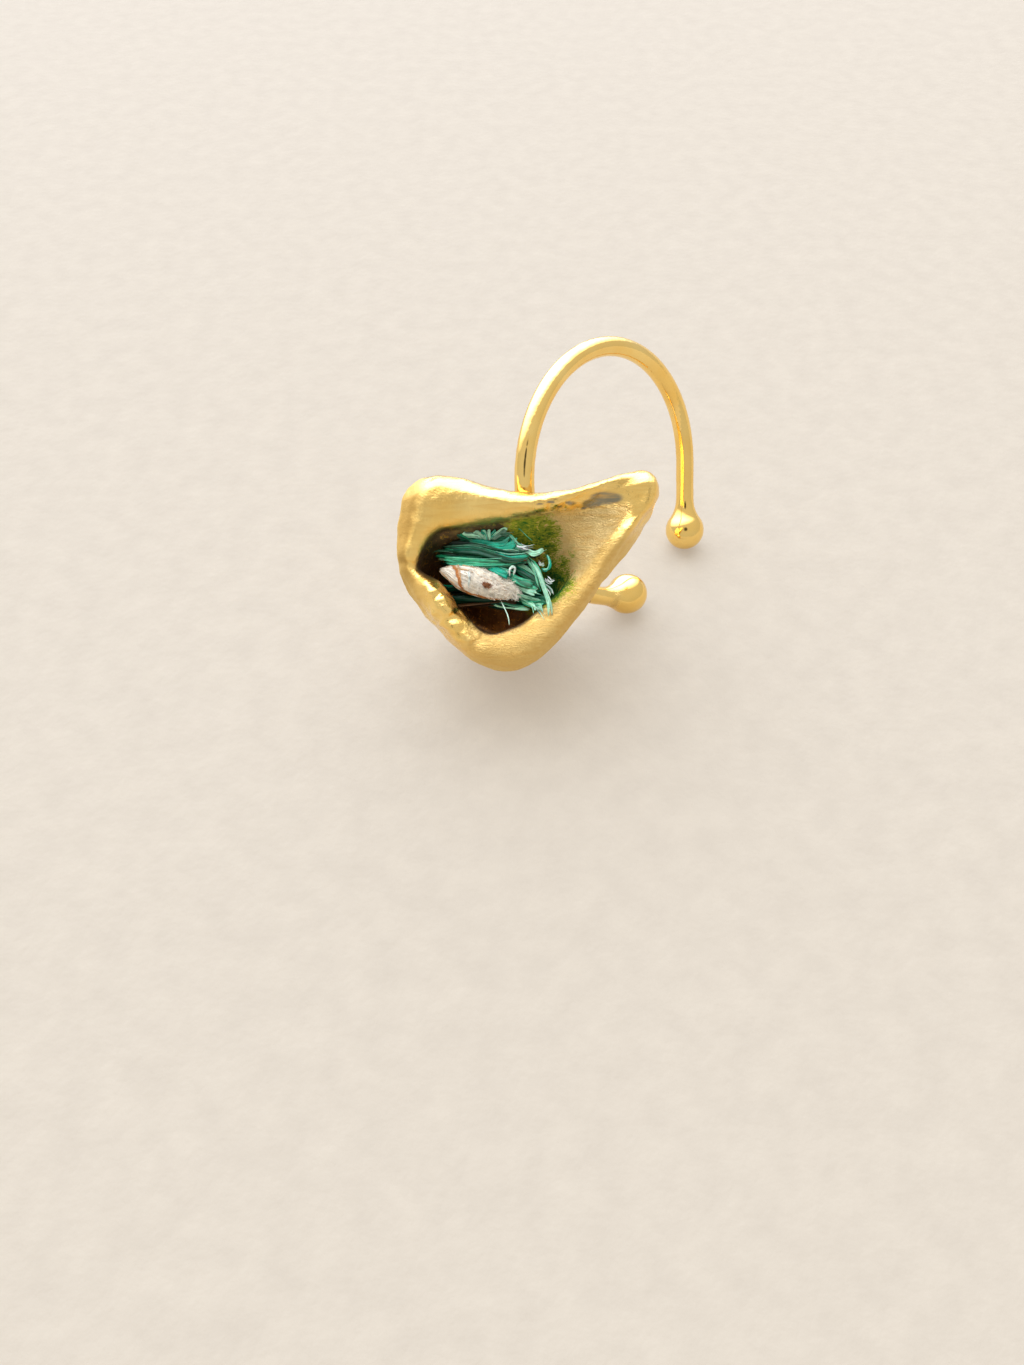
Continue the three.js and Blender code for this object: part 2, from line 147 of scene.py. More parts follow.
def copy_of_node(node, name):
    """A new piece from a CAD node's mesh, with its doubles merged."""
    piece = frame["nodes"][node].copy()
    piece.data = frame["nodes"][node].data.copy()
    piece.name = piece.data.name = name
    piece.parent = None
    for key in list(piece.keys()):
        del piece[key]
    piece.data.materials.clear()
    bpy.context.collection.objects.link(piece)
    only(piece)
    bpy.ops.object.mode_set(mode="EDIT")
    bpy.ops.mesh.select_all(action="SELECT")
    bpy.ops.mesh.remove_doubles(threshold=MERGE_WITHIN)
    bpy.ops.object.mode_set(mode="OBJECT")
    return piece


def finish_with(piece, kind, **settings):
    """Adds a modifier with these settings and applies it."""
    only(piece)
    modifier = piece.modifiers.new(kind.lower(), kind)
    for name, value in settings.items():
        setattr(modifier, name, value)
    bpy.ops.object.modifier_apply(modifier=modifier.name)


cuff = copy_of_node("cast_cuff", "gold_cuff")
finish_with(cuff, "REMESH", mode="VOXEL", voxel_size=VOXEL)
finish_with(cuff, "SMOOTH", factor=MELT_SHARE, iterations=MELT_STEPS)
finish_with(cuff, "DISPLACE", strength=SWELL, mid_level=0)
print("gold_cuff:", len(cuff.data.polygons), "faces")

# %% [markdown]
# Cast metal keeps every drip and knock of the wax that it was cast from, but the drawn wire is
# smooth. So the first mask tells wire from casting: it is each point's distance from the curve
# that the wire follows, and from the middles of the two balls.

# %% Which skin is wire
HOOP_CENTRE = np.array((2.617, 2.856, 7.054))
HOOP_AXIS = np.array((0.6918, -0.5678, 0.446))
HOOP_RADIUS = 6.81
HOOP_ARC = (-24.9, 252.4)  # degrees
FAR_BALL = np.array((7.711, 4.393, 1.15))
NEAR_BALL = np.array((3.8, -0.877, 1.15))
BALL_RADIUS = 1.15
WIRE_RADIUS = 0.5
WIRE_BORDER = (0.45, 0.12)  # how far off the wire its mask ends, and where it is full


def hoop_points(count=180):
    """Places in millimetres along the wire's centre line."""
    out = np.cross((0, 0, 1), HOOP_AXIS)
    out /= np.linalg.norm(out)
    up = np.cross(HOOP_AXIS, out)
    turns = np.radians(np.linspace(*HOOP_ARC, count))
    arc = HOOP_CENTRE + HOOP_RADIUS * (
        np.cos(turns)[:, None] * out + np.sin(turns)[:, None] * up
    )
    leg = np.linspace(FAR_BALL, arc[0], count // 4)
    foot = np.linspace(arc[-1], NEAR_BALL, count // 8)
    return np.vstack((leg, arc, foot))


def vertex_array(mesh):
    places = np.empty(len(mesh.vertices) * 3)
    mesh.vertices.foreach_get("co", places)
    return places.reshape(-1, 3)


def normal_array(mesh):
    normals = np.empty(len(mesh.vertices) * 3)
    mesh.vertex_normals.foreach_get("vector", normals)
    return normals.reshape(-1, 3)


def wire_mask(places_mm):
    """1 on the wire and the balls, and 0 on the casting, with a soft border."""
    nearest = np.full(len(places_mm), np.inf)
    for point in hoop_points():
        nearest = np.minimum(nearest, ((places_mm - point) ** 2).sum(1))
    off_wire = np.sqrt(nearest) - WIRE_RADIUS
    for ball in (FAR_BALL, NEAR_BALL):
        off_ball = np.linalg.norm(places_mm - ball, axis=1) - BALL_RADIUS
        off_wire = np.minimum(off_wire, off_ball)
    return smooth_step(*WIRE_BORDER, off_wire)


cuff_places = vertex_array(cuff.data)
on_wire = wire_mask(cuff_places / MM)
print("points on the wire:", int((on_wire > 0.5).sum()))

# %% [markdown]
# The drips and knocks sit on the lip in the places of this table. Each pushes the skin in or out
# under a soft bell-shaped mark, which works like one dab with a sculpting brush.

# %% Table of casting marks
# across, up, size and height, in millimetres on the mouth; a knock has a height below 0
CASTING_MARKS = (
    (-3.95, -1.0, 0.27, 0.2),
    (-3.62, -1.42, 0.3, 0.28),
    (-3.22, -1.86, 0.27, 0.25),
    (-2.92, -2.32, 0.3, 0.27),
    (-3.5, -2.3, 0.3, 0.2),
    (-3.08, -2.85, 0.28, 0.22),
    (-2.62, -2.78, 0.16, -0.06),
    (-2.66, -3.18, 0.27, 0.24),
    (-2.3, -3.62, 0.25, 0.2),
    (-2.15, -3.3, 0.15, -0.05),
    (-1.85, -3.78, 0.25, 0.17),
    (-1.42, -3.52, 0.2, 0.12),
    (-4.15, -0.75, 0.25, 0.08),
    (-5.3, 0.15, 0.28, -0.16),
    (-4.9, 0.05, 0.28, -0.14),
    (-4.5, -0.1, 0.26, -0.1),
    (1.7, 3.0, 0.14, -0.05),
    (2.0, 3.1, 0.12, 0.04),
    (2.3, 2.95, 0.14, -0.06),
    (2.65, 3.1, 0.13, 0.05),
    (2.95, 2.9, 0.12, -0.05),
    (3.3, 3.05, 0.13, 0.05),
    (3.6, 2.9, 0.12, -0.05),
    (3.9, 3.1, 0.14, 0.05),
    (5.0, 3.1, 0.55, -0.1),
    (6.05, 2.3, 0.16, -0.06),
    (5.85, 2.0, 0.12, 0.05),
    (6.2, 2.7, 0.14, -0.05),
)
print("casting marks:", len(CASTING_MARKS))

# %% [markdown]
# Between the marks the whole casting is a little uneven. A few sine waves in random directions
# are added up, which gives smooth unevenness at any size, and the same draws each time.

# %% Waves and spots
UNEVEN_WAVES = ((0.05, 1.6), (0.016, 0.55))  # height and wavelength, in millimetres
DRIP_WAVES = (0.04, 0.5)
DRIP_SEED = 11
WAVES_IN_SUM = 14


def wavy(places, wavelength, seed):
    """Smooth uneven values from about -1 to 1 over places in millimetres."""
    draws = np.random.default_rng(seed)
    total = np.zeros(len(places))
    for _ in range(WAVES_IN_SUM):
        direction = draws.normal(size=3)
        direction /= np.linalg.norm(direction)
        turn = draws.uniform(0, 2 * math.pi)
        stretch = draws.uniform(0.7, 1.5)
        total += np.sin(places @ direction * 2 * math.pi * stretch / wavelength + turn)
    return total / math.sqrt(WAVES_IN_SUM)


def spot(mouth, across, up, size):
    """A soft round mask on the mouth."""
    away = np.hypot(mouth[:, 0] - across, mouth[:, 1] - up) / size
    return np.exp(-away * away)


print("waves in a sum:", WAVES_IN_SUM)

# %% [markdown]
# The rim doesn't end square at the pod's upper edge. It rolls back there, and it shows as a
# bright line. So a narrow band below the edge leans back, away from the viewer.

# %% Rolled upper edge
# the pod's upper edge as the viewer sees it, across and up on the mouth in millimetres
UPPER_EDGE = (
    (-4.88, 4.1),
    (-3.45, 4.75),
    (-1.39, 4.28),
    (0.27, 3.84),
    (1.66, 3.74),
    (3.09, 3.81),
    (4.47, 4.16),
    (5.9, 4.6),
    (7.1, 4.85),
)
BEVEL_WIDTH = 0.8
BEVEL_DEPTH = 0.58
BEVEL_BEHIND = (-2.5, -1.0)  # where it starts behind the mouth, and where it is full
BEVEL_LEFT_SHARE = 0.7
BEVEL_FULL_FROM = (2.2, 3.8)  # across, towards the beak


def round_upper_edge(mouth):
    """How far the rim leans back towards the upper edge, most of all along the beak."""
    edge = np.interp(mouth[:, 0], *zip(*UPPER_EDGE))
    inside = np.clip(1 - (edge - mouth[:, 1]) / BEVEL_WIDTH, 0, 1.2)
    to_beak = smooth_step(*BEVEL_FULL_FROM, mouth[:, 0])
    along = BEVEL_LEFT_SHARE + (1 - BEVEL_LEFT_SHARE) * to_beak
    return BEVEL_DEPTH * inside**1.2 * along * smooth_step(*BEVEL_BEHIND, mouth[:, 2])


print("upper edge:", len(UPPER_EDGE), "points")

# %% [markdown]
# All of it is added up as one height for each point of the skin, which moves along its normal.
# The wire stays as drawn, and so does the flat on which the pod rests.

# %% Mark the casting
LIP_BEHIND = (-2.2, -1.2)
DRIPS_AT = (-3.2, -2.3, 1.3)  # across, up and size
OFF_TABLE = (0.02, 0.5)


def mark_casting(piece):
    """Shapes the skin, and gives its places and normals on the mouth's axes."""
    places = vertex_array(piece.data)
    normals = normal_array(piece.data)
    mouth = to_mouth(places)
    height = np.zeros(len(places))
    on_lip = smooth_step(*LIP_BEHIND, mouth[:, 2])
    for across, up, size, rise in CASTING_MARKS:
        height += rise * spot(mouth, across, up, size) * on_lip
    drips = spot(mouth, *DRIPS_AT) * on_lip
    height += DRIP_WAVES[0] * wavy(mouth, DRIP_WAVES[1], DRIP_SEED) * drips
    for number, (rise, wavelength) in enumerate(UNEVEN_WAVES):
        height += 0.5 * rise * wavy(places / MM, wavelength, number)
    height *= (1 - on_wire) * smooth_step(*OFF_TABLE, places[:, 2] / MM)
    places += normals * (height * MM)[:, None]
    lean_back = round_upper_edge(mouth) * (1 - on_wire)
    places -= MOUTH_AXES[2] * (lean_back * MM)[:, None]
    places[:, 2] = np.maximum(places[:, 2], 0)
    piece.data.vertices.foreach_set("co", places.ravel())
    piece.data.update()
    return mouth, normal_array(piece.data) @ MOUTH_AXES.T


mouth_places, mouth_normals = mark_casting(cuff)
only(cuff)
bpy.ops.object.shade_smooth()
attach(cuff, "root")
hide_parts("cast_cuff")
print("skin points:", len(mouth_places))

# %% [markdown]
# Polish never reaches the hollow. Such a patch is a mask: values from 0 to 1 that are stored on
# the mesh, which the material reads. Masks are worked out from each point's place on the mouth
# and the way that it faces. The hollow is all skin behind the mouth that faces the hollow's own
# middle line, from the mouth's middle to its foot.

# %% Hollow
HOLLOW_FOOT = np.array((-0.3, -3.4, -5.9))
HOLLOW_REACH = 5.5
HOLLOW_BEHIND = (-0.25, -0.6)
FACES_IN = (-0.25, 0.25)


def store(piece, name, values):
    attribute = piece.data.attributes.new(name, "FLOAT", "POINT")
    attribute.data.foreach_set("value", np.ascontiguousarray(values, np.float32))


def looks_inwards(mouth, facing):
    """How much the skin faces the hollow's middle line, from -1 to 1, and its distance."""
    share = np.clip(mouth[:, 2] / HOLLOW_FOOT[2], 0, 1)[:, None]
    inwards = HOLLOW_FOOT * share - mouth
    distance = np.linalg.norm(inwards, axis=1)
    return (inwards * facing).sum(1) / distance, distance


across, up, out = mouth_places.T
faces_right, faces_up, faces_out = mouth_normals.T
looks_in, to_middle_line = looks_inwards(mouth_places, mouth_normals)
hollow = smooth_step(*FACES_IN, looks_in) * (to_middle_line < HOLLOW_REACH)
hollow *= smooth_step(*HOLLOW_BEHIND, out)
store(cuff, "wire", on_wire)
print("points in the hollow:", int((hollow > 0.5).sum()))

# %% [markdown]
# Verdigris has crept from the rope over the hollow's right wall and fades out on the rim. Its
# mask is a product of soft borders, one for each side of the patch. The last three borders ask
# how the skin faces, so that none of it comes through on the pod's back.

# %% Verdigris, and painted shade by the rope
# each border: where the patch ends and where it is full, in millimetres on the mouth
GREEN_LEFT = (0.2, 1.2)
GREEN_RIGHT = (3.9, 2.1)
GREEN_BOTTOM = (-2.6, -1.2)
GREEN_TOP = (3.4, 2.9)
GREEN_FRONT = (0.3, -0.9)
GREEN_SLANT = 0.25
RAGGED_WAVES = ((0.3, 1.1, 5), (0.15, 0.4, 6))  # height, wavelength and seed
# painted shade low on the right wall by the rope: how much it raises the mask, and where it grows
PAINTED_SHADE_NEAR_ROPE, PAINTED_SHADE_NEAR_ROPE_BELOW = 0.9, (0.5, -1.1)
THIN_SHARE, THINNER_FROM = 0.5, (-0.5, 0.0)
GREEN_FACES_LEFT = (0.65, 0.05)
GREEN_FACES_IN = (-0.5, -0.1)
GREEN_FACES_OUT = (-0.5, -0.2)
NO_BROWN_ABOVE = (-5, -3.5)

slanted = across + GREEN_SLANT * up
ragged = sum(rise * wavy(mouth_places, length, seed) for rise, length, seed in RAGGED_WAVES)
right_wall = smooth_step(*GREEN_LEFT, slanted) * smooth_step(*GREEN_BOTTOM, up)
verdigris_and_shade = right_wall * smooth_step(*GREEN_RIGHT, slanted + ragged) * (1 - on_wire)
verdigris_and_shade *= smooth_step(*GREEN_TOP, up) * smooth_step(*GREEN_FRONT, out)
# painted shade: the mask is raised low down by the rope, so that the crust goes darker there
verdigris_and_shade *= 1 + PAINTED_SHADE_NEAR_ROPE * smooth_step(*PAINTED_SHADE_NEAR_ROPE_BELOW, up)
verdigris_and_shade *= 1 - THIN_SHARE * smooth_step(*THINNER_FROM, out)
verdigris_and_shade *= smooth_step(*GREEN_FACES_LEFT, faces_right)
verdigris_and_shade *= smooth_step(*GREEN_FACES_IN, looks_in) * smooth_step(*GREEN_FACES_OUT, faces_out)
store(cuff, "verdigris_and_shade", verdigris_and_shade)
store(cuff, "hollow", hollow * (1 - right_wall * smooth_step(*NO_BROWN_ABOVE, out)))
print("points with verdigris:", int((verdigris_and_shade > 0.5).sum()))

# %% [markdown]
# Right of the verdigris lies a pale valley full of fine wrinkles. The lips round it and the pod's
# left side are rubbed matt, and their colour is darkened as painted shade, most on the side that
# faces left. The lips are a little wrinkled too. One straight line along the right rim tells the
# valley from the lip.

# %% Wrinkled parts, and matt parts with painted shade
RIM_START = np.array((2.81, -2.53))
RIM_SIDE = np.array((-0.797, 0.603))
VALLEY_LEFT = (1.0, 2.4)
VALLEY_TOP, VALLEY_SLANT = (2.7, 2.1), 0.12
VALLEY_FRONT = (0.35, -0.3)
VALLEY_FACES_OUT = (-0.2, 0.2)
VALLEY_IN_RIM = (0.1, 0.6)
RIGHT_LIP_LEFT, RIGHT_LIP_IN_RIM, RIGHT_LIP_TOP = (-1.5, 0.3), (0.9, 0.2), (2.2, 1.0)
LOW_LIP_TOP, LOW_LIP_LEFT = (-2.5, -3.1), (-2.3, -1.5)
SIDE_FACES_LEFT, SIDE_RIGHT = (0.0, -0.4), (-3.6, -4.6)
LIP_WRINKLES, LIP_MATT_AND_SHADE = 0.3, 0.5
DRIPPED = (-3.0, -2.4, 1.5)  # across, up and size

inside_rim = (mouth_places[:, :2] - RIM_START) @ RIM_SIDE
valley = (
    smooth_step(*VALLEY_LEFT, across)
    * smooth_step(*VALLEY_TOP, up - VALLEY_SLANT * across)
    * smooth_step(*VALLEY_FRONT, out)
    * smooth_step(*VALLEY_FACES_OUT, faces_out)
    * smooth_step(*VALLEY_IN_RIM, inside_rim)
    * (1 - on_wire)
)
right_lip = smooth_step(*RIGHT_LIP_LEFT, across) * smooth_step(*RIGHT_LIP_IN_RIM, inside_rim)
right_lip *= smooth_step(*RIGHT_LIP_TOP, up)
low_lip = smooth_step(*LOW_LIP_TOP, up) * smooth_step(*LOW_LIP_LEFT, across)
lips = np.maximum(right_lip, low_lip) * (1 - on_wire) * (1 - hollow)
# this mask also darkens the colour as painted shade: half on the lips, fully on the left-facing
# side
left_side = smooth_step(*SIDE_FACES_LEFT, faces_right) * smooth_step(*SIDE_RIGHT, across)
matt_and_shade = np.maximum(LIP_MATT_AND_SHADE * lips, left_side * (1 - on_wire))
store(cuff, "wrinkles", np.maximum(valley, LIP_WRINKLES * lips))
store(cuff, "matt_and_shade", matt_and_shade * (1 - spot(mouth_places, *DRIPPED)))
print("points in the valley:", int((valley > 0.5).sum()))

# %% [markdown]
# The drips, the beak, the upper rim and the wire keep their polish. A few patches and specks
# along the upper lip are painted darker, as painted dark reflections. The place on the mouth is
# stored as well, so that wrinkles and brush lines can follow the mouth.

# %% Polished parts and painted dark reflections
# across, up and size on the mouth
GLOSSY_SPOTS = (
    DRIPPED,
    (6.0, 2.4, 1.6),
    (2.0, 3.0, 0.5),
    (3.0, 3.0, 0.5),
    (4.0, 3.0, 0.5),
    (5.0, 3.0, 0.5),
)
GLOSSY_FACES_UP, GLOSSY_ABOVE = (0.35, 0.75), (1.5, 2.6)
# painted dark reflections: across, up, half width and half height on the mouth
DARK_REFLECTION_SPOTS = (
    (5.1, 3.36, 0.85, 0.3),
    (4.4, 3.12, 0.55, 0.2),
    (3.3, 3.12, 0.3, 0.08),
    (2.3, 3.08, 0.22, 0.07),
    (1.75, 2.98, 0.16, 0.05),
    (2.75, 2.93, 0.14, 0.05),
    (4.0, 2.95, 0.16, 0.06),
)
DARK_REFLECTION_BORDER = (1.15, 0.75)
DARK_REFLECTION_BEHIND = (-1.5, -0.5)

gloss = smooth_step(*GLOSSY_FACES_UP, faces_up) * smooth_step(*GLOSSY_ABOVE, up)
gloss += sum(spot(mouth_places, *place) for place in GLOSSY_SPOTS)
store(cuff, "gloss", np.clip(gloss + on_wire, 0, 1))
dark_reflection = np.zeros(len(mouth_places))
for middle, level, wide, high in DARK_REFLECTION_SPOTS:
    off_spot = np.hypot((across - middle) / wide, (up - level) / high)
    dark_reflection = np.maximum(dark_reflection, smooth_step(*DARK_REFLECTION_BORDER, off_spot))
store(cuff, "dark_reflection", dark_reflection * smooth_step(*DARK_REFLECTION_BEHIND, out) * (1 - on_wire))
place_attribute = cuff.data.attributes.new("mouth", "FLOAT_VECTOR", "POINT")
place_attribute.data.foreach_set("vector", mouth_places.astype(np.float32).ravel())
print("masks:", [name for name in cuff.data.attributes.keys() if name[0] != "."])

# %% [markdown]
# Materials are built from nodes. These two helpers make a node group with its sockets, and add a
# node together with its settings, values and links.

# %% Groups and nodes
def new_tree(name, inputs, outputs):
    """A node group with these float inputs and outputs, and its two end nodes."""
    tree = bpy.data.node_groups.new(name, "ShaderNodeTree")
    for socket, value in inputs:
        made = tree.interface.new_socket(socket, in_out="INPUT", socket_type="NodeSocketFloat")
        made.default_value = value
    for socket in outputs:
        tree.interface.new_socket(socket, in_out="OUTPUT", socket_type="NodeSocketFloat")
    return tree, tree.nodes.new("NodeGroupInput"), tree.nodes.new("NodeGroupOutput")


def add(tree, kind, settings=None, **sockets):
    """A node with its settings, and with values or links put into its sockets by name."""
    node = tree.nodes.new(kind)
    for name, value in (settings or {}).items():
        setattr(node, name, value)
    for name, value in sockets.items():
        key = int(name[1:]) if name[0] == "i" and name[1:].isdigit() else name.replace("_", " ")
        if isinstance(value, bpy.types.NodeSocket):
            tree.links.new(value, node.inputs[key])
        else:
            node.inputs[key].default_value = value
    return node


print("node helpers ready")

# %% [markdown]
# An effect that more than one finish uses is a node group. This one gives an uneven grain for a
# colour, a roughness or a height: a noise of a size in millimetres, stretched over the wanted
# range of values. The group is built once, and every finish gives it its own numbers.

# %% Uneven grain
NOISE_RANGE = (0.3, 0.7)  # where nearly all values of a noise lie


def grain_group():
    tree, start, end = new_tree(
        "uneven grain",
        (("Size mm", 1.0), ("Detail", 4.0), ("Distortion", 0.0), ("Low", 0.0), ("High", 1.0)),
        ("Value",),
    )
    place = add(tree, "ShaderNodeTexCoord").outputs["Object"]
    per_mm = add(tree, "ShaderNodeMath", {"operation": "DIVIDE"}, i0=1000, i1=start.outputs[0])
    noise = add(
        tree,
        "ShaderNodeTexNoise",
        Vector=place,
        Scale=per_mm.outputs[0],
        Detail=start.outputs[1],
        Distortion=start.outputs[2],
    )
    stretched = add(
        tree,
        "ShaderNodeMapRange",
        Value=noise.outputs[0],
        From_Min=NOISE_RANGE[0],
        From_Max=NOISE_RANGE[1],
        To_Min=start.outputs[3],
        To_Max=start.outputs[4],
    )
    tree.links.new(stretched.outputs[0], end.inputs[0])
    return tree


GRAIN = grain_group()


def grain(tree, size, low, high, detail=4.0, distortion=0.0):
    """The uneven grain placed in a material, as a socket."""
    node = add(tree, "ShaderNodeGroup", {"node_tree": GRAIN})
    for value, socket in zip((size, detail, distortion, low, high), node.inputs):
        socket.default_value = value
    return node.outputs[0]


print("node group:", GRAIN.name)

# %% [markdown]
# The finishes are sums and mixtures of masks and grains. These helpers name the usual nodes, so
# that a finish reads like a recipe.

# %% Recipe helpers
def mask(tree, name):
    return add(tree, "ShaderNodeAttribute", {"attribute_name": name}).outputs["Fac"]


def mixed(tree, share, first, second):
    node = add(tree, "ShaderNodeMix", {"data_type": "RGBA"})
    for socket, value in ((0, share), (6, first), (7, second)):
        if isinstance(value, bpy.types.NodeSocket):
            tree.links.new(value, node.inputs[socket])
        else:
            node.inputs[socket].default_value = value if socket == 0 else (*value, 1)
    return node.outputs[2]


def combine(tree, operation, first, second):
    return add(tree, "ShaderNodeMath", {"operation": operation}, i0=first, i1=second).outputs[0]


def scaled(tree, value, factor):
    return combine(tree, "MULTIPLY", value, factor)


def spread(tree, value, low, high, to_low=0.0, to_high=1.0):
    """Stretches the range of values from low to high over another range, and clamps it."""
    return add(
        tree,
        "ShaderNodeMapRange",
        Value=value,
        From_Min=low,
        From_Max=high,
        To_Min=to_low,
        To_Max=to_high,
    ).outputs[0]


def new_material(name, **sockets):
    """A material, its tree and its shader, with the given values on the shader's sockets."""
    material = bpy.data.materials.new(name)
    material.use_nodes = True
    tree = material.node_tree
    shader = tree.nodes["Principled BSDF"]
    for key, value in sockets.items():
        shader.inputs[key.replace("_", " ")].default_value = value
    return material, tree, shader


print("recipe helpers ready")

# %% [markdown]
# Gold plating is a metal with a warm reflection. Its colour wanders a little from place to
# place, is pale and dusty between wrinkles, darkened as painted shade where it is matt, and
# streaked where it is rubbed. A few patches on the upper lip are painted dark reflections. In
# the hollow it goes brown with a few glints. Verdigris covers it as a crust, which is thicker
# in some places, and the thick parts are darker; low by the rope it is darker still, as
# painted shade.

# %% Colours of the gold
GOLD = (0.97, 0.7, 0.25)
GOLD_DEEP = (0.93, 0.6, 0.16)
GOLD_DUSTY = (1.0, 0.78, 0.37)
GOLD_RUBBED = (0.86, 0.52, 0.13)
# painted shade on the matt lips and on the side that faces left
GOLD_PAINTED_SHADE = (0.5, 0.345, 0.11)
# colour of the painted dark reflections on the upper lip
PAINTED_DARK_REFLECTION = (0.28, 0.25, 0.17)
HOLLOW_BROWN = (0.3, 0.18, 0.1)
HOLLOW_GLINT = (0.75, 0.45, 0.12)
VERDIGRIS_LIGHT = (0.46, 0.47, 0.02)
# also the colour of the painted shade low on the right wall by the rope
VERDIGRIS_DARK = (0.015, 0.14, 0.003)
GOLD_MASKS = ("hollow", "verdigris_and_shade", "gloss", "wrinkles", "dark_reflection", "matt_and_shade", "wire")
# stretch along the mouth's axes, then detail and distortion of the noise
HAIR_NOISE = ((2.2, 5.5, 3.2), 5, 3.0)
STREAK_NOISE = ((0.7, 6, 2), 4, 0.5)
BRUSH_NOISE = ((9, 0.9, 2), 3, 0.0)
STREAK_RANGE, STREAK_SHARE = (0.45, 0.7), 0.5
GLINT_RANGE = (0.72, 0.85)
PAINTED_SHADE_SHARE = 0.75


def along_mouth(tree, stretch, detail, distortion):
    """Noise that follows the mouth's own axes, stretched by a factor along each."""
    place = add(tree, "ShaderNodeAttribute", {"attribute_name": "mouth"}).outputs["Vector"]
    turned = add(tree, "ShaderNodeMapping", Vector=place, Scale=stretch)
    return add(
        tree,
        "ShaderNodeTexNoise",
        Vector=turned.outputs[0],
        Scale=1.0,
        Detail=detail,
        Distortion=distortion,
    ).outputs[0]


def plate_colour(tree, masks, casting):
    """The bare gold, from its masks and the mask of all that is no wire."""
    plate = mixed(tree, grain(tree, 2.2, 0, 1), GOLD, GOLD_DEEP)
    plate = mixed(tree, masks["wrinkles"], plate, GOLD_DUSTY)
    # painted dark reflections on the upper lip
    plate = mixed(tree, masks["dark_reflection"], plate, PAINTED_DARK_REFLECTION)
    streaks = spread(tree, along_mouth(tree, *STREAK_NOISE), *STREAK_RANGE, 0, STREAK_SHARE)
    plate = mixed(tree, scaled(tree, streaks, casting), plate, GOLD_RUBBED)
    # painted shade on the matt lips and on the side that faces left
    plate = mixed(tree, scaled(tree, masks["matt_and_shade"], PAINTED_SHADE_SHARE), plate, GOLD_PAINTED_SHADE)
    glints = spread(tree, grain(tree, 0.3, 0, 1, 3, 1.5), *GLINT_RANGE)
    tarnish = mixed(tree, glints, HOLLOW_BROWN, HOLLOW_GLINT)
    return mixed(tree, scaled(tree, masks["hollow"], grain(tree, 0.5, 0.8, 1.2)), plate, tarnish)


def crust_of_verdigris(tree, moss_and_shade, hair):
    """The crust's colour, darker where thick and in painted shade, and how far it covers the gold.
    """
    thick = combine(tree, "ADD", moss_and_shade, spread(tree, hair, *NOISE_RANGE, -0.8, 0.5))
    crust_and_shade = mixed(tree, spread(tree, thick, 0.3, 1.2), VERDIGRIS_LIGHT, VERDIGRIS_DARK)
    return crust_and_shade, scaled(tree, spread(tree, moss_and_shade, 0.0, 0.3), spread(tree, thick, -0.1, 0.35))


print("masks read by the gold:", len(GOLD_MASKS))

# %% [markdown]
# The roughness starts from a near polish with an uneven grain, and each mask adds its share.
# Verdigris is a crust and no metal, so it lowers the metallic value and scatters light. Fine
# relief comes from a bump: pits of the casting, brush lines on satin parts, and wrinkles.

# %% Gold
POLISH = (1.1, 0.07, 0.11)  # size of the grain, and the roughness between which it wanders
# what each mask adds to the roughness where it is full
ADDED_ROUGHNESS = (("wrinkles", 0.3), ("matt_and_shade", 0.5), ("hollow", 0.1))
SATIN_ROUGHNESS, CRUST_ROUGHNESS = 0.26, 0.35
CRUST_DULLS, WRINKLES_DULL = 0.9, 0.12
# size of the grain, its lowest and highest relief in millimetres, and its detail
PITS = ((0.35, -0.005, 0.005, 3), (0.1, -0.004, 0.004, 4))
BRUSH_RELIEF = 0.003
WRINKLE_RELIEF = 0.06


def gold_relief(tree, masks, casting, satin, hair):
    """Pits and brush lines on the casting, and wrinkles, as a height in millimetres."""
    pits = combine(tree, "ADD", *(grain(tree, *pit) for pit in PITS))
    brush = along_mouth(tree, *BRUSH_NOISE)
    brushed = spread(tree, brush, *NOISE_RANGE, -BRUSH_RELIEF, BRUSH_RELIEF)
    wrinkled = spread(tree, hair, *NOISE_RANGE, -WRINKLE_RELIEF, WRINKLE_RELIEF)
    return combine(
        tree,
        "ADD",
        scaled(tree, combine(tree, "ADD", pits, scaled(tree, brushed, satin)), casting),
        scaled(tree, wrinkled, masks["wrinkles"]),
    )


def gold_finish():
    material, tree, shader = new_material("gold_plating")
    masks = {name: mask(tree, name) for name in GOLD_MASKS}
    casting = combine(tree, "SUBTRACT", 1.0, masks["wire"])
    satin = combine(tree, "SUBTRACT", 1.0, masks["gloss"])
    hair = along_mouth(tree, *HAIR_NOISE)
    crust_and_shade, cover = crust_of_verdigris(tree, masks["verdigris_and_shade"], hair)
    coloured = mixed(tree, cover, plate_colour(tree, masks, casting), crust_and_shade)
    tree.links.new(coloured, shader.inputs["Base Color"])
    metal_share = combine(tree, "SUBTRACT", 1.0, scaled(tree, cover, CRUST_DULLS))
    dulled = scaled(tree, masks["wrinkles"], WRINKLES_DULL)
    metal_share = combine(tree, "SUBTRACT", metal_share, dulled)
    tree.links.new(metal_share, shader.inputs["Metallic"])
    rough = combine(tree, "ADD", grain(tree, *POLISH), scaled(tree, satin, SATIN_ROUGHNESS))
    for name, added in ADDED_ROUGHNESS:
        rough = combine(tree, "ADD", rough, scaled(tree, masks[name], added))
    rough = combine(tree, "ADD", rough, scaled(tree, cover, CRUST_ROUGHNESS))
    tree.links.new(rough, shader.inputs["Roughness"])
    relief = gold_relief(tree, masks, casting, satin, hair)
    bump = add(tree, "ShaderNodeBump", Height=relief, Distance=MM, Strength=1.0)
    tree.links.new(bump.outputs[0], shader.inputs["Normal"])
    return material


cuff.data.materials.append(gold_finish())
print("finish:", cuff.data.materials[0].name)

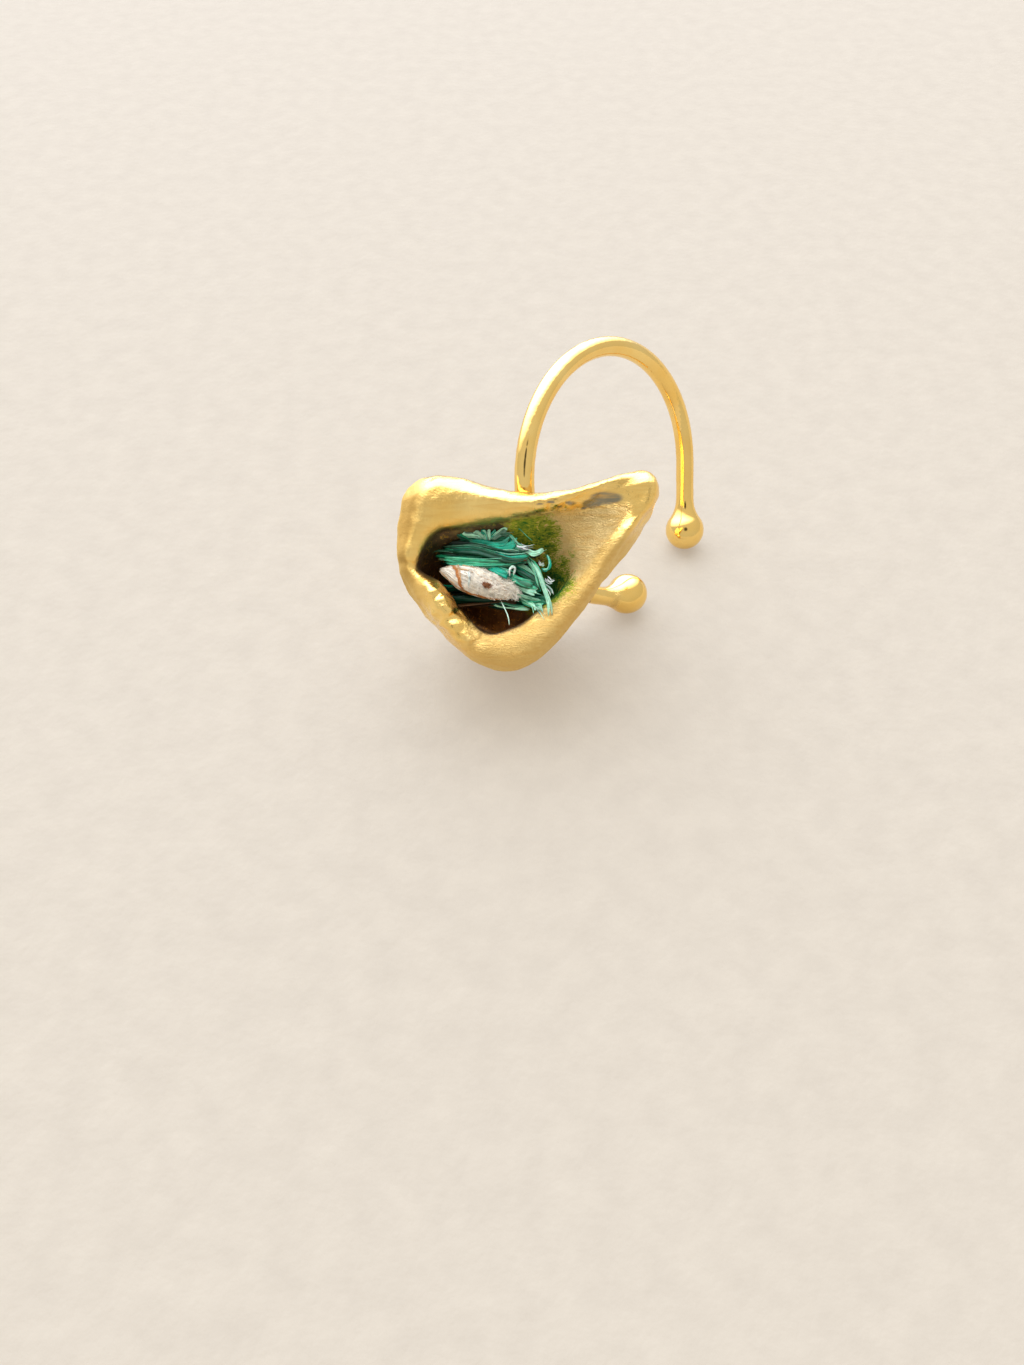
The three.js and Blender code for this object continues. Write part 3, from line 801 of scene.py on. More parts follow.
# %% [markdown]
# Frayed rope is hundreds of flat shiny fibres. One fibre is a thin closed ribbon along a smooth
# curve, and a strand is a few of them side by side that spread at the end. Hundreds of small
# ribbons are quickest as arrays of points that become one mesh. First come the curve and the
# rings of points round it.

# %% One ribbon
RIM = 6  # points round a ribbon
TAPER_RATE, TIP_SHARE = 9, 0.25
TINY = 1e-12


def smooth_path(points, count):
    """A smooth curve of count places through a few points."""
    points = np.asarray(points, float)
    padded = np.vstack((2 * points[0] - points[1], points, 2 * points[-1] - points[-2]))
    places = np.linspace(0, len(points) - 1, count)
    first = np.minimum(places.astype(int), len(points) - 2)
    t = (places - first)[:, None]
    p, q, r, s = (padded[first + k] for k in range(4))
    return q + t / 2 * (r - p + t * (2 * p - 5 * q + 4 * r - s + t * (3 * (q - r) + s - p)))


def unit(vectors):
    return vectors / (np.linalg.norm(vectors, axis=1)[:, None] + TINY)


def ribbon_points(path, width, thickness, turn, twist):
    """Rings of points round a path, flat towards the viewer and turned, with thin tips."""
    tangents = unit(np.gradient(path, axis=0))
    side = unit(np.cross(tangents, MOUTH_AXES[2]))
    top = np.cross(side, tangents)
    share = np.linspace(0, 1, len(path))
    taper = np.clip(np.minimum(share, 1 - share) * TAPER_RATE, TIP_SHARE, 1)
    spin = turn + twist * share
    ring = []
    for rim_turn in np.arange(RIM) * 2 * math.pi / RIM:
        flat = math.cos(rim_turn) * width / 2 * taper
        thick = math.sin(rim_turn) * thickness / 2 * taper
        x = flat * np.cos(spin) - thick * np.sin(spin)
        y = flat * np.sin(spin) + thick * np.cos(spin)
        ring.append(path + side * x[:, None] + top * y[:, None])
    return np.stack(ring, axis=1).reshape(-1, 3)


print("points round a ribbon:", RIM)

# %% [markdown]
# The ribbons of one piece are collected here. Each carries its own tone, so that one material
# serves all of them, and its tip may have another tone than its foot.

# %% Collected ribbons
class FibreMesh:
    """Collects ribbons and turns them into one piece."""

    def __init__(self):
        self.points, self.faces, self.tones = [], [], []

    def ribbon(self, path, width, thickness, tone, tip_tone=None, turn=0.0, twist=0.0):
        """Adds a flat ribbon along a path of places in metres."""
        count = len(path)
        first = sum(len(ring) for ring in self.points)
        self.points.append(ribbon_points(path, width, thickness, turn, twist))
        for i in range(count - 1):
            for j in range(RIM):
                a = first + i * RIM + j
                b = first + i * RIM + (j + 1) % RIM
                self.faces.append((a, a + RIM, b + RIM, b))
        last = first + (count - 1) * RIM
        self.faces.append(tuple(first + j for j in range(RIM)))
        self.faces.append(tuple(last + RIM - 1 - j for j in range(RIM)))
        start = np.array(tone)
        tip = np.array(tone if tip_tone is None else tip_tone)
        colour = start + (tip - start) * (np.linspace(0, 1, count) ** 2)[:, None]
        self.tones.append(np.repeat(colour, RIM, axis=0))

    def piece(self, name, material):
        """One object of all the ribbons, with their tones as an attribute."""
        mesh = bpy.data.meshes.new(name)
        mesh.from_pydata(np.concatenate(self.points), [], self.faces)
        mesh.update()
        tones = np.concatenate(self.tones)
        rows = np.ones((len(tones), 4), np.float32)
        rows[:, :3] = np.clip(tones, 0, 1)
        colour = mesh.attributes.new("tone", "FLOAT_COLOR", "POINT")
        colour.data.foreach_set("color", rows.ravel())
        made = bpy.data.objects.new(name, mesh)
        bpy.context.collection.objects.link(made)
        only(made)
        bpy.ops.object.mode_set(mode="EDIT")
        bpy.ops.mesh.select_all(action="SELECT")
        bpy.ops.mesh.normals_make_consistent(inside=False)
        bpy.ops.object.mode_set(mode="OBJECT")
        bpy.ops.object.shade_smooth()
        mesh.materials.append(material)
        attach(made, "root")
        print(name + ":", len(mesh.polygons), "faces")
        return made


print("ribbons ready")

# %% [markdown]
# Fibres are soft and lie against the metal, and never in it. So each point of a path is pushed
# out of the metal's finished skin, as far as a small room from it. All chance comes from one
# seeded draw, so that the rope is the same each time.

# %% Clear of the metal
metal = BVHTree.FromObject(cuff, bpy.context.evaluated_depsgraph_get())
METAL_REACH = 1.5 * MM
ROPE_ROOM = 0.09 * MM
YARN_ROOM = 0.05 * MM
draw = random.Random(7)


def clear_of_metal(path, room):
    """Pushes places out of the metal, and as far as room from it."""
    freed = []
    for place in path:
        near, normal, _, _ = metal.find_nearest(Vector(place), METAL_REACH)
        if near is not None:
            height = (Vector(place) - near).dot(normal)
            if height < room:
                place = np.array(near + normal * room)
        freed.append(place)
    return np.array(freed)


def jitter(size):
    return np.array([draw.uniform(-size, size) for _ in range(3)])


print("room at the metal:", ROPE_ROOM, YARN_ROOM)

# %% [markdown]
# This table gives each strand's way over the mouth as the viewer sees it, and how many fibres it
# has. The strands come in a few greens, and their frayed ends go pale. The darkest green is a
# darkened copy of the green: painted shade, for strands that lie deep in the mouth.

# %% Table of strands
TONES = {
    # a darkened copy of the green: painted shade
    "shade_green": (0.002, 0.05, 0.025),
    "green": (0.0, 0.22, 0.1),
    "teal": (0.0, 0.4, 0.25),
    "mint": (0.08, 0.58, 0.32),
    "pale": (0.42, 0.78, 0.53),
    "white": (0.8, 0.82, 0.78),
    "brown": (0.16, 0.08, 0.03),
}
# tone, width, fibres and spread of a strand, then its places on the mouth: across, up and out
STRANDS = (
    ("shade_green", 0.3, 7, 0.3,
     (-3.39, 1.07, -1.6), (-2.43, 0.96, -1.2), (-1.55, 0.78, -1.0), (-0.78, 0.63, -1.0)),
    ("green", 0.3, 7, 0.25,
     (-3.67, 0.73, -1.8), (-2.76, 0.68, -1.4), (-1.81, 0.54, -1.1), (-0.78, 0.42, -1.0)),
    ("shade_green", 0.28, 7, 0.2,
     (-2.03, 1.57, -1.5), (-1.3, 1.44, -1.3), (-0.52, 1.53, -1.2), (0.04, 1.57, -1.1)),
    ("green", 0.3, 8, 0.2,
     (-3.16, 0.91, -1.2), (-1.59, 0.88, -0.75), (-0.46, 0.58, -0.6), (0.3, 0.42, -0.55),
     (1.07, 0.49, -0.5)),
    ("teal", 0.22, 4, 0.1,
     (-0.46, 0.64, -0.62), (0.25, 0.46, -0.42), (1.09, 0.5, -0.38)),
    ("mint", 0.26, 6, 0.16,
     (-3.07, 0.37, -1.0), (-2.41, 0.29, -0.75), (-1.53, 0.22, -0.6), (-0.62, 0.2, -0.6),
     (0.25, 0.27, -0.6), (1.02, 0.43, -0.6)),
    ("green", 0.3, 6, 0.2,
     (-2.21, 0.1, -0.9), (-1.29, 0.09, -0.8), (-0.26, 0.14, -0.8), (1.02, 0.3, -0.8)),
    ("teal", 0.3, 6, 0.18,
     (-2.03, 1.29, -1.3), (-1.29, 1.14, -1.0), (-0.52, 0.99, -0.8), (0.05, 1.06, -0.75),
     (0.4, 1.38, -0.7)),
    ("green", 0.26, 6, 0.2,
     (-1.82, 1.09, -1.4), (-0.99, 1.31, -1.1), (-0.26, 1.46, -0.9), (0.35, 1.4, -0.8)),
    ("teal", 0.25, 5, 0.15,
     (-1.3, 1.0, -1.1), (-0.26, 0.86, -0.8), (0.51, 0.91, -0.8), (1.17, 0.8, -0.7)),
    ("pale", 0.24, 3, 0.06,
     (0.51, 0.96, -0.8), (1.17, 0.75, -0.55), (1.47, 0.6, -0.4), (1.82, 0.69, -0.3),
     (2.1, 0.88, -0.2)),
    ("teal", 0.14, 3, 0.05,
     (0.17, 1.72, -0.9), (0.46, 1.41, -0.7), (0.71, 1.09, -0.6), (1.07, 0.86, -0.6)),
    ("teal", 0.14, 3, 0.04,
     (2.06, 0.68, -0.6), (2.26, 0.25, -0.4), (2.23, -0.11, -0.35), (2.08, -0.23, -0.4),
     (1.83, -0.14, -0.6)),
    ("pale", 0.2, 3, 0.06,
     (1.35, 0.28, -0.7), (1.67, -0.31, -0.4), (1.9, -1.0, -0.15), (2.12, -1.61, 0.0),
     (2.21, -2.03, 0.12), (2.26, -2.56, 0.15)),
    ("mint", 0.24, 5, 0.15,
     (1.17, 0.41, -0.9), (1.58, -0.14, -0.6), (1.78, -0.76, -0.5), (1.93, -1.22, -0.5)),
    ("green", 0.28, 6, 0.2,
     (0.35, 0.11, -1.0), (0.92, -0.22, -0.8), (1.48, -0.64, -0.7), (1.78, -0.99, -0.7)),
    ("mint", 0.3, 5, 0.16,
     (0.3, -0.5, -1.0), (0.86, -0.79, -0.7), (1.68, -1.0, -0.6)),
    ("pale", 0.3, 5, 0.16,
     (0.46, -0.91, -1.0), (1.02, -1.19, -0.8), (1.63, -1.41, -0.6)),
    ("green", 0.3, 6, 0.2,
     (0.56, -1.21, -1.1), (1.17, -1.54, -0.9), (1.93, -1.77, -0.6)),
    ("teal", 0.3, 5, 0.15,
     (-0.88, 0.0, -0.9), (-0.36, -0.24, -0.6), (0.05, -0.4, -0.5), (0.25, -0.55, -0.5)),
    ("mint", 0.24, 5, 0.12,
     (0.87, -1.67, -1.2), (1.38, -1.9, -0.9), (1.93, -1.9, -0.6)),
    ("pale", 0.12, 7, 0.2,
     (1.28, -1.84, -1.0), (1.63, -2.13, -0.6), (1.82, -2.45, -0.3)),
    ("pale", 0.12, 2, 0.05,
     (-0.84, -1.64, -1.6), (-0.32, -1.97, -1.3), (0.46, -2.09, -1.1), (1.23, -2.15, -1.0)),
    ("mint", 0.12, 2, 0.05,
     (-0.69, -1.59, -1.6), (-0.01, -1.84, -1.3), (0.66, -1.99, -1.1), (1.18, -1.99, -1.0)),
    ("mint", 0.05, 1, 0.0,
     (0.61, 2.09, -1.0), (1.02, 1.68, -0.8), (1.48, 1.22, -0.8)),
    ("pale", 0.3, 4, 0.12,
     (-2.17, 1.85, -1.0), (-1.55, 1.62, -0.95), (-0.83, 1.42, -1.0)),
    ("pale", 0.24, 3, 0.08,
     (-1.6, 1.95, -0.9), (-1.29, 1.69, -0.85), (-0.9, 1.41, -0.9)),
    ("teal", 0.32, 3, 0.08,
     (-1.19, 2.03, -0.9), (-1.03, 1.74, -0.85), (-0.85, 1.41, -0.9)),
    ("pale", 0.2, 3, 0.06,
     (-0.88, 2.01, -0.8), (-0.85, 1.67, -0.75), (-0.83, 1.4, -0.85)),
    ("teal", 0.24, 3, 0.06,
     (-0.47, 1.96, -0.8), (-0.62, 1.68, -0.8), (-0.83, 1.41, -0.9)),
    ("pale", 0.24, 3, 0.06,
     (0.12, 2.06, -0.8), (-0.26, 1.7, -0.8), (-0.83, 1.39, -0.9)),
    ("green", 0.3, 4, 0.1,
     (-2.43, 2.01, -1.1), (-1.86, 1.52, -1.1), (-1.09, 1.36, -1.1)),
    ("white", 0.1, 6, 0.12,
     (0.66, 1.09, -0.6), (0.91, 0.92, -0.5), (1.27, 0.92, -0.5)),
)
print("strands:", len(STRANDS))

# %% [markdown]
# A fibre follows its strand's way, a little to one side, and leaves it more and more towards its
# end. Some fibres are darkened as painted shade and some are paled as painted highlights. Half
# as many thin wisps lie over them.

# %% Strands and backing
PATH_POINTS = 14
FIBRE_THICKNESS = 0.045 * MM
WISP_WIDTH, WISP_THICKNESS = (0.02, 0.04), 0.02 * MM
WISP_LIFT = 0.05
SHADED_BELOW, PAINTED_HIGHLIGHT_ABOVE = 0.25, 0.8
BACKING_FIBRES = 260
BACKING_POINTS = 10
BACKING_WIDTH, BACKING_THICKNESS = (0.15, 0.32), 0.05 * MM


def fibre_tone(tone):
    """A strand's tone for one fibre: a few are painted shade and a few painted highlights."""
    base = np.array(TONES[tone])
    luck = draw.random()
    # painted shade: a darkened copy of the strand's tone
    if luck < SHADED_BELOW:
        return base * 0.3
    # painted highlight: the tone paled towards the pale one
    if luck > PAINTED_HIGHLIGHT_ABOVE:
        return base * 0.4 + np.array(TONES["pale"]) * 0.6
    return base * draw.uniform(0.7, 1.2)


def add_strand(mesh, tone, width, count, loose, *points):
    """A strand of count fibres and half as many wisps; loose is how far they stray."""
    share = np.linspace(0, 1, PATH_POINTS)[:, None]
    for _ in range(count):
        aside = jitter(loose) * (1, 1, 0.5)
        splay = jitter(loose * 0.9) * (1, 1, 0.7)
        path = smooth_path(points, PATH_POINTS) + aside
        path = path + splay * share**2 + jitter(0.02) * np.sin(share * 9)
        path = path[draw.randint(0, 1) : len(path) - draw.randint(0, 2)]
        base = fibre_tone(tone)
        tip = base * 0.8 + np.array(TONES["pale"]) * 0.2 * draw.random()
        mesh.ribbon(
            clear_of_metal(from_mouth(path), ROPE_ROOM),
            width * draw.uniform(0.6, 1.1) * MM,
            FIBRE_THICKNESS,
            base,
            tip,
            draw.uniform(-0.7, 0.7),
            draw.uniform(-0.8, 0.8),
        )
    for _ in range(count // 2):
        path = smooth_path(points, PATH_POINTS) + jitter(loose * 1.2) * (1, 1, 0.4)
        path = path + jitter(loose * 1.4) * share**2
        path[:, 2] += WISP_LIFT
        mesh.ribbon(
            clear_of_metal(from_mouth(path), ROPE_ROOM),
            draw.uniform(*WISP_WIDTH) * MM,
            WISP_THICKNESS,
            fibre_tone(tone) * 0.7 + np.array(TONES[draw.choice(("pale", "teal"))]) * 0.3,
        )


def add_backing(mesh):
    """Fibres deep in the mouth, half in the painted-shade green, so no bare hollow shows between
    strands.
    """
    for _ in range(BACKING_FIBRES):
        level = draw.uniform(-1.7, 1.9)
        start = np.array((draw.uniform(-3.4, -0.5), level + draw.uniform(-0.3, 0.3), 0.0))
        end_level = level * 0.8 - 0.35
        end = np.array((draw.uniform(0.2, 1.9), end_level + draw.uniform(-0.4, 0.4), 0.0))
        middle = (start + end) / 2 + jitter(0.25)
        deep = draw.uniform(1.2, 2.2)
        start[2], middle[2], end[2] = -deep - 0.5, -deep, -deep
        # half of them in the painted-shade green
        tone = np.array(TONES[draw.choice(("shade_green", "shade_green", "green", "brown"))])
        path = from_mouth(smooth_path((start, middle, end), BACKING_POINTS))
        mesh.ribbon(
            clear_of_metal(path, ROPE_ROOM),
            draw.uniform(*BACKING_WIDTH) * MM,
            BACKING_THICKNESS,
            tone * draw.uniform(0.5, 1.2),
            None,
            draw.uniform(-0.8, 0.8),
            draw.uniform(-1, 1),
        )


rope = FibreMesh()
add_backing(rope)
for strand in STRANDS:
    add_strand(rope, *strand)
print("rope ribbons:", len(rope.points))

# %% [markdown]
# Rope fibre is smooth plastic and cotton is matt, but both are streaked along their length. So
# one function makes both materials: the tone comes from the mesh, and a grain varies it.

# %% Finish of the fibres
STREAKS = (0.25, 0.72, 1.2, 5)  # size, lowest and highest share of the tone, and detail
FIBRE_GRAIN, FIBRE_GRAIN_DETAIL = 0.08, 4
FIBRE_SCATTER = 0.15 * MM


def fibre_finish(name, roughness, subsurface, relief):
    """Fibre: its tone comes from the mesh, with fine streaks."""
    material, tree, shader = new_material(
        name,
        Roughness=roughness,
        Subsurface_Weight=subsurface,
        Subsurface_Scale=FIBRE_SCATTER,
        Specular_IOR_Level=0.3,
    )
    tone = add(tree, "ShaderNodeAttribute", {"attribute_name": "tone"}).outputs["Color"]
    scale = {"operation": "SCALE"}
    streaked = add(tree, "ShaderNodeVectorMath", scale, i0=tone, Scale=grain(tree, *STREAKS))
    tree.links.new(streaked.outputs[0], shader.inputs["Base Color"])
    height = grain(tree, FIBRE_GRAIN, 0, relief, FIBRE_GRAIN_DETAIL)
    bump = add(tree, "ShaderNodeBump", Height=height, Distance=MM, Strength=0.8)
    tree.links.new(bump.outputs[0], shader.inputs["Normal"])
    return material


rope_piece = rope.piece("rope_strands", fibre_finish("rope_fibre", 0.32, 0.15, 0.012))
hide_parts("green_rope_tuft")

# %% [markdown]
# The white yarn is a pointed spindle of cotton. Places on it are easiest to give by how far they
# are along it and how far round it, so one function turns these into places on the mouth. Its
# left tip is drawn out thin.

# %% Shape of the yarn
YARN_MIDDLE = np.array((-1.376, -0.731, -1.03))
YARN_LEAN = math.radians(-17)
YARN_HALF = np.array((2.1, 0.68, 0.65))
YARN_POINT, YARN_POINT_FROM = 0.42, (-0.35, -1.0)
YARN_BLUNT, YARN_GIRTH_POWER = 0.01, 1.15

yarn_along = np.array((math.cos(YARN_LEAN), math.sin(YARN_LEAN), 0))
yarn_up = np.array((-math.sin(YARN_LEAN), math.cos(YARN_LEAN), 0))
yarn_out = np.array((0, 0, 1.0))


def pointed(along):
    """How much of its thickness the yarn keeps towards its left tip."""
    return 1 - YARN_POINT * smooth_step(*YARN_POINT_FROM, along)


def on_yarn(along, turn, lift=0.0):
    """Places on the spindle: along from -1 to 1, turned round it from its upper side."""
    along = np.asarray(along, float)
    turn = np.asarray(turn, float)
    girth = np.sqrt(np.maximum(1 - along**2, YARN_BLUNT)) ** YARN_GIRTH_POWER * pointed(along)
    upwards = (YARN_HALF[1] * girth + lift) * np.cos(turn)
    outwards = (YARN_HALF[2] * girth + lift) * np.sin(turn)
    return (
        YARN_MIDDLE
        + np.multiply.outer(along * YARN_HALF[0], yarn_along)
        + np.multiply.outer(upwards, yarn_up)
        + np.multiply.outer(outwards, yarn_out)
    )


print("yarn:", 2 * YARN_HALF[0], "mm long")

# %% [markdown]
# A remeshed copy of the solid gives the yarn's body. Waves make it lumpy, most of all on its
# fluffy right half, and its left end is drawn in to the thin tip. The body is plain matt cotton.

# %% Body of the yarn
BODY_VOXEL = 0.06 * MM
BODY_MELT_STEPS = 12
LUMPS = ((0.09, 0.6, 21), (0.03, 0.25, 22))  # height, wavelength and seed
FLUFFY_FROM = (-2.2, -1.3)
SMOOTH_LUMPS = 0.25
COTTON = (0.95, 0.89, 0.77)
COTTON_SHADED = (0.62, 0.5, 0.36)

yarn_body = copy_of_node("white_rope_yarn", "yarn_body")
finish_with(yarn_body, "REMESH", mode="VOXEL", voxel_size=BODY_VOXEL)
finish_with(yarn_body, "SMOOTH", factor=MELT_SHARE, iterations=BODY_MELT_STEPS)
body_places = vertex_array(yarn_body.data)
fluffy = smooth_step(*FLUFFY_FROM, to_mouth(body_places)[:, 0])
lumps = sum(rise * wavy(body_places / MM, length, seed) for rise, length, seed in LUMPS)
lumps *= SMOOTH_LUMPS + (1 - SMOOTH_LUMPS) * fluffy
body_places += normal_array(yarn_body.data) * (lumps * MM)[:, None]
off_middle = to_mouth(body_places) - YARN_MIDDLE
body_along = off_middle @ yarn_along
off_axis = off_middle - body_along[:, None] * yarn_along
off_axis *= 1 - pointed(body_along / YARN_HALF[0])[:, None]
body_places -= off_axis @ MOUTH_AXES * MM
yarn_body.data.vertices.foreach_set("co", body_places.ravel())
yarn_body.data.update()
only(yarn_body)
bpy.ops.object.shade_smooth()
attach(yarn_body, "root")
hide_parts("white_rope_yarn")


def grainy_finish(name, colours, shades, relief, strength, **sockets):
    """A matt material with two colours in a grain, and a finer grain of relief."""
    material, tree, shader = new_material(name, **sockets)
    tree.links.new(mixed(tree, grain(tree, *shades), *colours), shader.inputs["Base Color"])
    height = grain(tree, *relief)
    bump = add(tree, "ShaderNodeBump", Height=height, Distance=MM, Strength=strength)
    tree.links.new(bump.outputs[0], shader.inputs["Normal"])
    return material


cotton = grainy_finish(
    "cotton_body",
    (COTTON, COTTON_SHADED),
    (0.5, -0.4, 0.9, 5),
    (0.07, 0, 0.03, 4),
    1.0,
    Roughness=0.9,
    Specular_IOR_Level=0.2,
)
yarn_body.data.materials.append(cotton)
print("yarn_body:", len(yarn_body.data.polygons), "faces")

# %% [markdown]
# Long fine fibres run round the yarn with a slight twist. A few of them are tan.

# %% Long fibres of the yarn
LONG_FIBRES = 280
LONG_POINTS = 12
LONG_TWIST = 0.7
LONG_WIDTH, LONG_THICKNESS = (0.03, 0.08), 0.03 * MM
TAN = (0.66, 0.42, 0.22)

yarn = FibreMesh()
for _ in range(LONG_FIBRES):
    start, stop = sorted((draw.uniform(-1, 0.5), draw.uniform(-0.4, 0.95)))
    along = np.linspace(start, stop, LONG_POINTS)
    first_turn = draw.uniform(-0.6, math.pi + 0.6)
    turn = first_turn + LONG_TWIST * (along - start) + 0.08 * np.sin(along * 11 + first_turn)
    shade = draw.uniform(0.86, 1.06)
    tone = np.array(COTTON if draw.random() < 0.9 else TAN) * shade
    path = on_yarn(along, turn, draw.uniform(0.0, 0.07))
    yarn.ribbon(
        clear_of_metal(from_mouth(path), YARN_ROOM),
        draw.uniform(*LONG_WIDTH) * MM,
        LONG_THICKNESS,
        tone,
    )
print("yarn ribbons:", len(yarn.points))

# %% [markdown]
# Short curly fibres make the fluff on the right half, longer towards its end. A brown spot has
# stained some of them, and a dense cluster of brown fibres lies in its middle.

# %% Fluff and brown spot
FLUFF_FIBRES = 1700
FLUFF_POINTS = 8
FLUFF_ALONG, FLUFF_TURN = (-0.25, 0.98), (-0.2, 2.6)
FLUFF_FOOT, FLUFF_REACH, FLUFF_END_REACH = 0.02, 0.14, 0.12
FLUFF_WIDTH, FLUFF_THICKNESS = (0.01, 0.018), 0.01 * MM
SPOT_BROWN = (0.3, 0.12, 0.05)
SPOT_ALONG, SPOT_TURN, SPOT_SIZE = 0.24, 1.72, (0.1, 0.16)
SPOT_FIBRES = 90
SPOT_POINTS = 6
SPOT_WIDTH, SPOT_THICKNESS = (0.02, 0.04), 0.02 * MM

for _ in range(FLUFF_FIBRES):
    along = draw.uniform(*FLUFF_ALONG)
    turn = draw.uniform(*FLUFF_TURN)
    foot = on_yarn(along, turn, FLUFF_FOOT)
    away = on_yarn(along, turn, FLUFF_REACH + FLUFF_END_REACH * max(along, 0)) - foot
    drift = yarn_along * draw.uniform(-0.25, 0.35)
    tip = foot + away * draw.uniform(0.2, 1.0) + drift + jitter(0.05)
    bend = (foot + tip) / 2 + jitter(0.07)
    path = smooth_path((foot, bend, tip, tip + jitter(0.06)), FLUFF_POINTS)
    off_spot = math.hypot((along - SPOT_ALONG) / SPOT_SIZE[0], (turn - SPOT_TURN) / SPOT_SIZE[1])
    yarn.ribbon(
        from_mouth(path),
        draw.uniform(*FLUFF_WIDTH) * MM,
        FLUFF_THICKNESS,
        np.array(COTTON if off_spot > 1 else SPOT_BROWN) * draw.uniform(0.97, 1.05),
    )
for _ in range(SPOT_FIBRES):
    swing = draw.uniform(0, 2 * math.pi)
    reach = math.sqrt(draw.random())
    along = SPOT_ALONG + reach * math.cos(swing) * SPOT_SIZE[0]
    turn = SPOT_TURN + reach * math.sin(swing) * SPOT_SIZE[1]
    foot = on_yarn(along, turn, draw.uniform(0.1, 0.2))
    yarn.ribbon(
        from_mouth(smooth_path((foot, foot + jitter(0.05), foot + jitter(0.1)), SPOT_POINTS)),
        draw.uniform(*SPOT_WIDTH) * MM,
        SPOT_THICKNESS,
        np.array(SPOT_BROWN) * draw.uniform(0.7, 1.2),
    )
print("yarn ribbons:", len(yarn.points))

# %% [markdown]
# Rust-coloured and tan threads cross the yarn's left half and follow its lower edge. Each row of
# the table is a few threads side by side.

# %% Threads of the yarn
RUST = (0.5, 0.2, 0.06)
# along and turn at both ends, then the tone and how many threads lie side by side
YARN_THREADS = (
    (-0.72, 0.5, -0.3, 2.75, RUST, 5),
    (-0.6, 0.45, -0.38, 2.1, TAN, 4),
    (-0.85, 2.4, -0.1, 2.95, TAN, 4),
    (-0.35, 2.85, 0.85, 2.75, RUST, 9),
    (0.1, 3.0, 0.8, 2.6, TAN, 5),
)
THREAD_POINTS = 14
THREAD_LIFT, THREAD_WAVE = 0.09, 0.02
THREAD_WIDTH, THREAD_THICKNESS = (0.03, 0.06), 0.03 * MM

wave = THREAD_WAVE * np.sin(np.arange(THREAD_POINTS) * 1.7)[:, None]
for start, start_turn, stop, stop_turn, tone, count in YARN_THREADS:
    for _ in range(count):
        along = np.linspace(start, stop, THREAD_POINTS) + draw.uniform(-0.03, 0.03)
        turn = np.linspace(start_turn, stop_turn, THREAD_POINTS) + draw.uniform(-0.07, 0.07)
        yarn.ribbon(
            clear_of_metal(from_mouth(on_yarn(along, turn, THREAD_LIFT) + wave), YARN_ROOM),
            draw.uniform(*THREAD_WIDTH) * MM,
            THREAD_THICKNESS,
            np.array(tone) * draw.uniform(0.7, 1.2),
        )
cotton_fibre = fibre_finish("cotton_fibre", 0.8, 0.0, 0.0)
yarn_piece = yarn.piece("yarn_fibres", cotton_fibre)

# %% [markdown]
# A few single hairs stick out of the mouth: a long white one hangs over the lower lip, a curled
# white end stands up between the yarn and the rope, and short white bits cling to the rope.

# %% Loose hairs
# in the same order as the table of strands
HAIRS = (
    ("white", 0.07, 1, 0.0,
     (-0.24, -1.62, -0.9), (-0.03, -2.13, -0.5), (0.18, -2.71, -0.3), (0.25, -3.11, -0.3)),
    ("white", 0.12, 2, 0.03,
     (0.25, -0.51, -0.3), (0.25, -0.23, -0.1), (0.4, -0.07, -0.05), (0.53, -0.18, -0.1),
     (0.43, -0.47, -0.25)),
    ("white", 0.09, 5, 0.04,
     (-1.83, -0.3, -0.25), (-1.77, -0.69, -0.12), (-1.82, -1.11, -0.22)),
    ("white", 0.04, 5, 0.1,
     (2.1, -0.6, -0.4), (2.3, -0.8, -0.25), (2.45, -0.75, -0.2)),
    ("white", 0.04, 5, 0.1,
     (2.0, -1.0, -0.3), (2.25, -1.25, -0.2), (2.35, -1.5, -0.1)),
    ("white", 0.06, 4, 0.06,
     (1.75, 0.25, -0.6), (1.85, 0.05, -0.5), (1.95, 0.15, -0.45)),
)
hairs = FibreMesh()
for hair in HAIRS:
    add_strand(hairs, *hair)
hair_piece = hairs.piece("loose_hairs", cotton_fibre)

# %% [markdown]
# The floor is a plain pale cream sheet with a faint grain. It also glows a little, because light
# that bounces about in the real room fills the shadows that the world alone leaves too dark.

# %% Floor
FLOOR_HALF = 0.4
CREAM = (0.212, 0.192, 0.154)
CREAM_SHADED = (0.185, 0.167, 0.134)
PAPER_GLOW = (0.375, 0.325, 0.27)

bpy.ops.object.select_all(action="DESELECT")
bpy.ops.mesh.primitive_plane_add(size=2 * FLOOR_HALF, location=(0, 0, 0))
floor = bpy.context.object
floor.name = "floor"
paper = grainy_finish(
    "paper",
    (CREAM, CREAM_SHADED),
    (1.6, 0, 1, 8),
    (0.5, 0, 0.05, 6),
    0.3,
    Roughness=0.85,
    Emission_Color=(*PAPER_GLOW, 1),
    Emission_Strength=1.0,
)
floor.data.materials.append(paper)
print("floor:", 2 * FLOOR_HALF, "m wide")

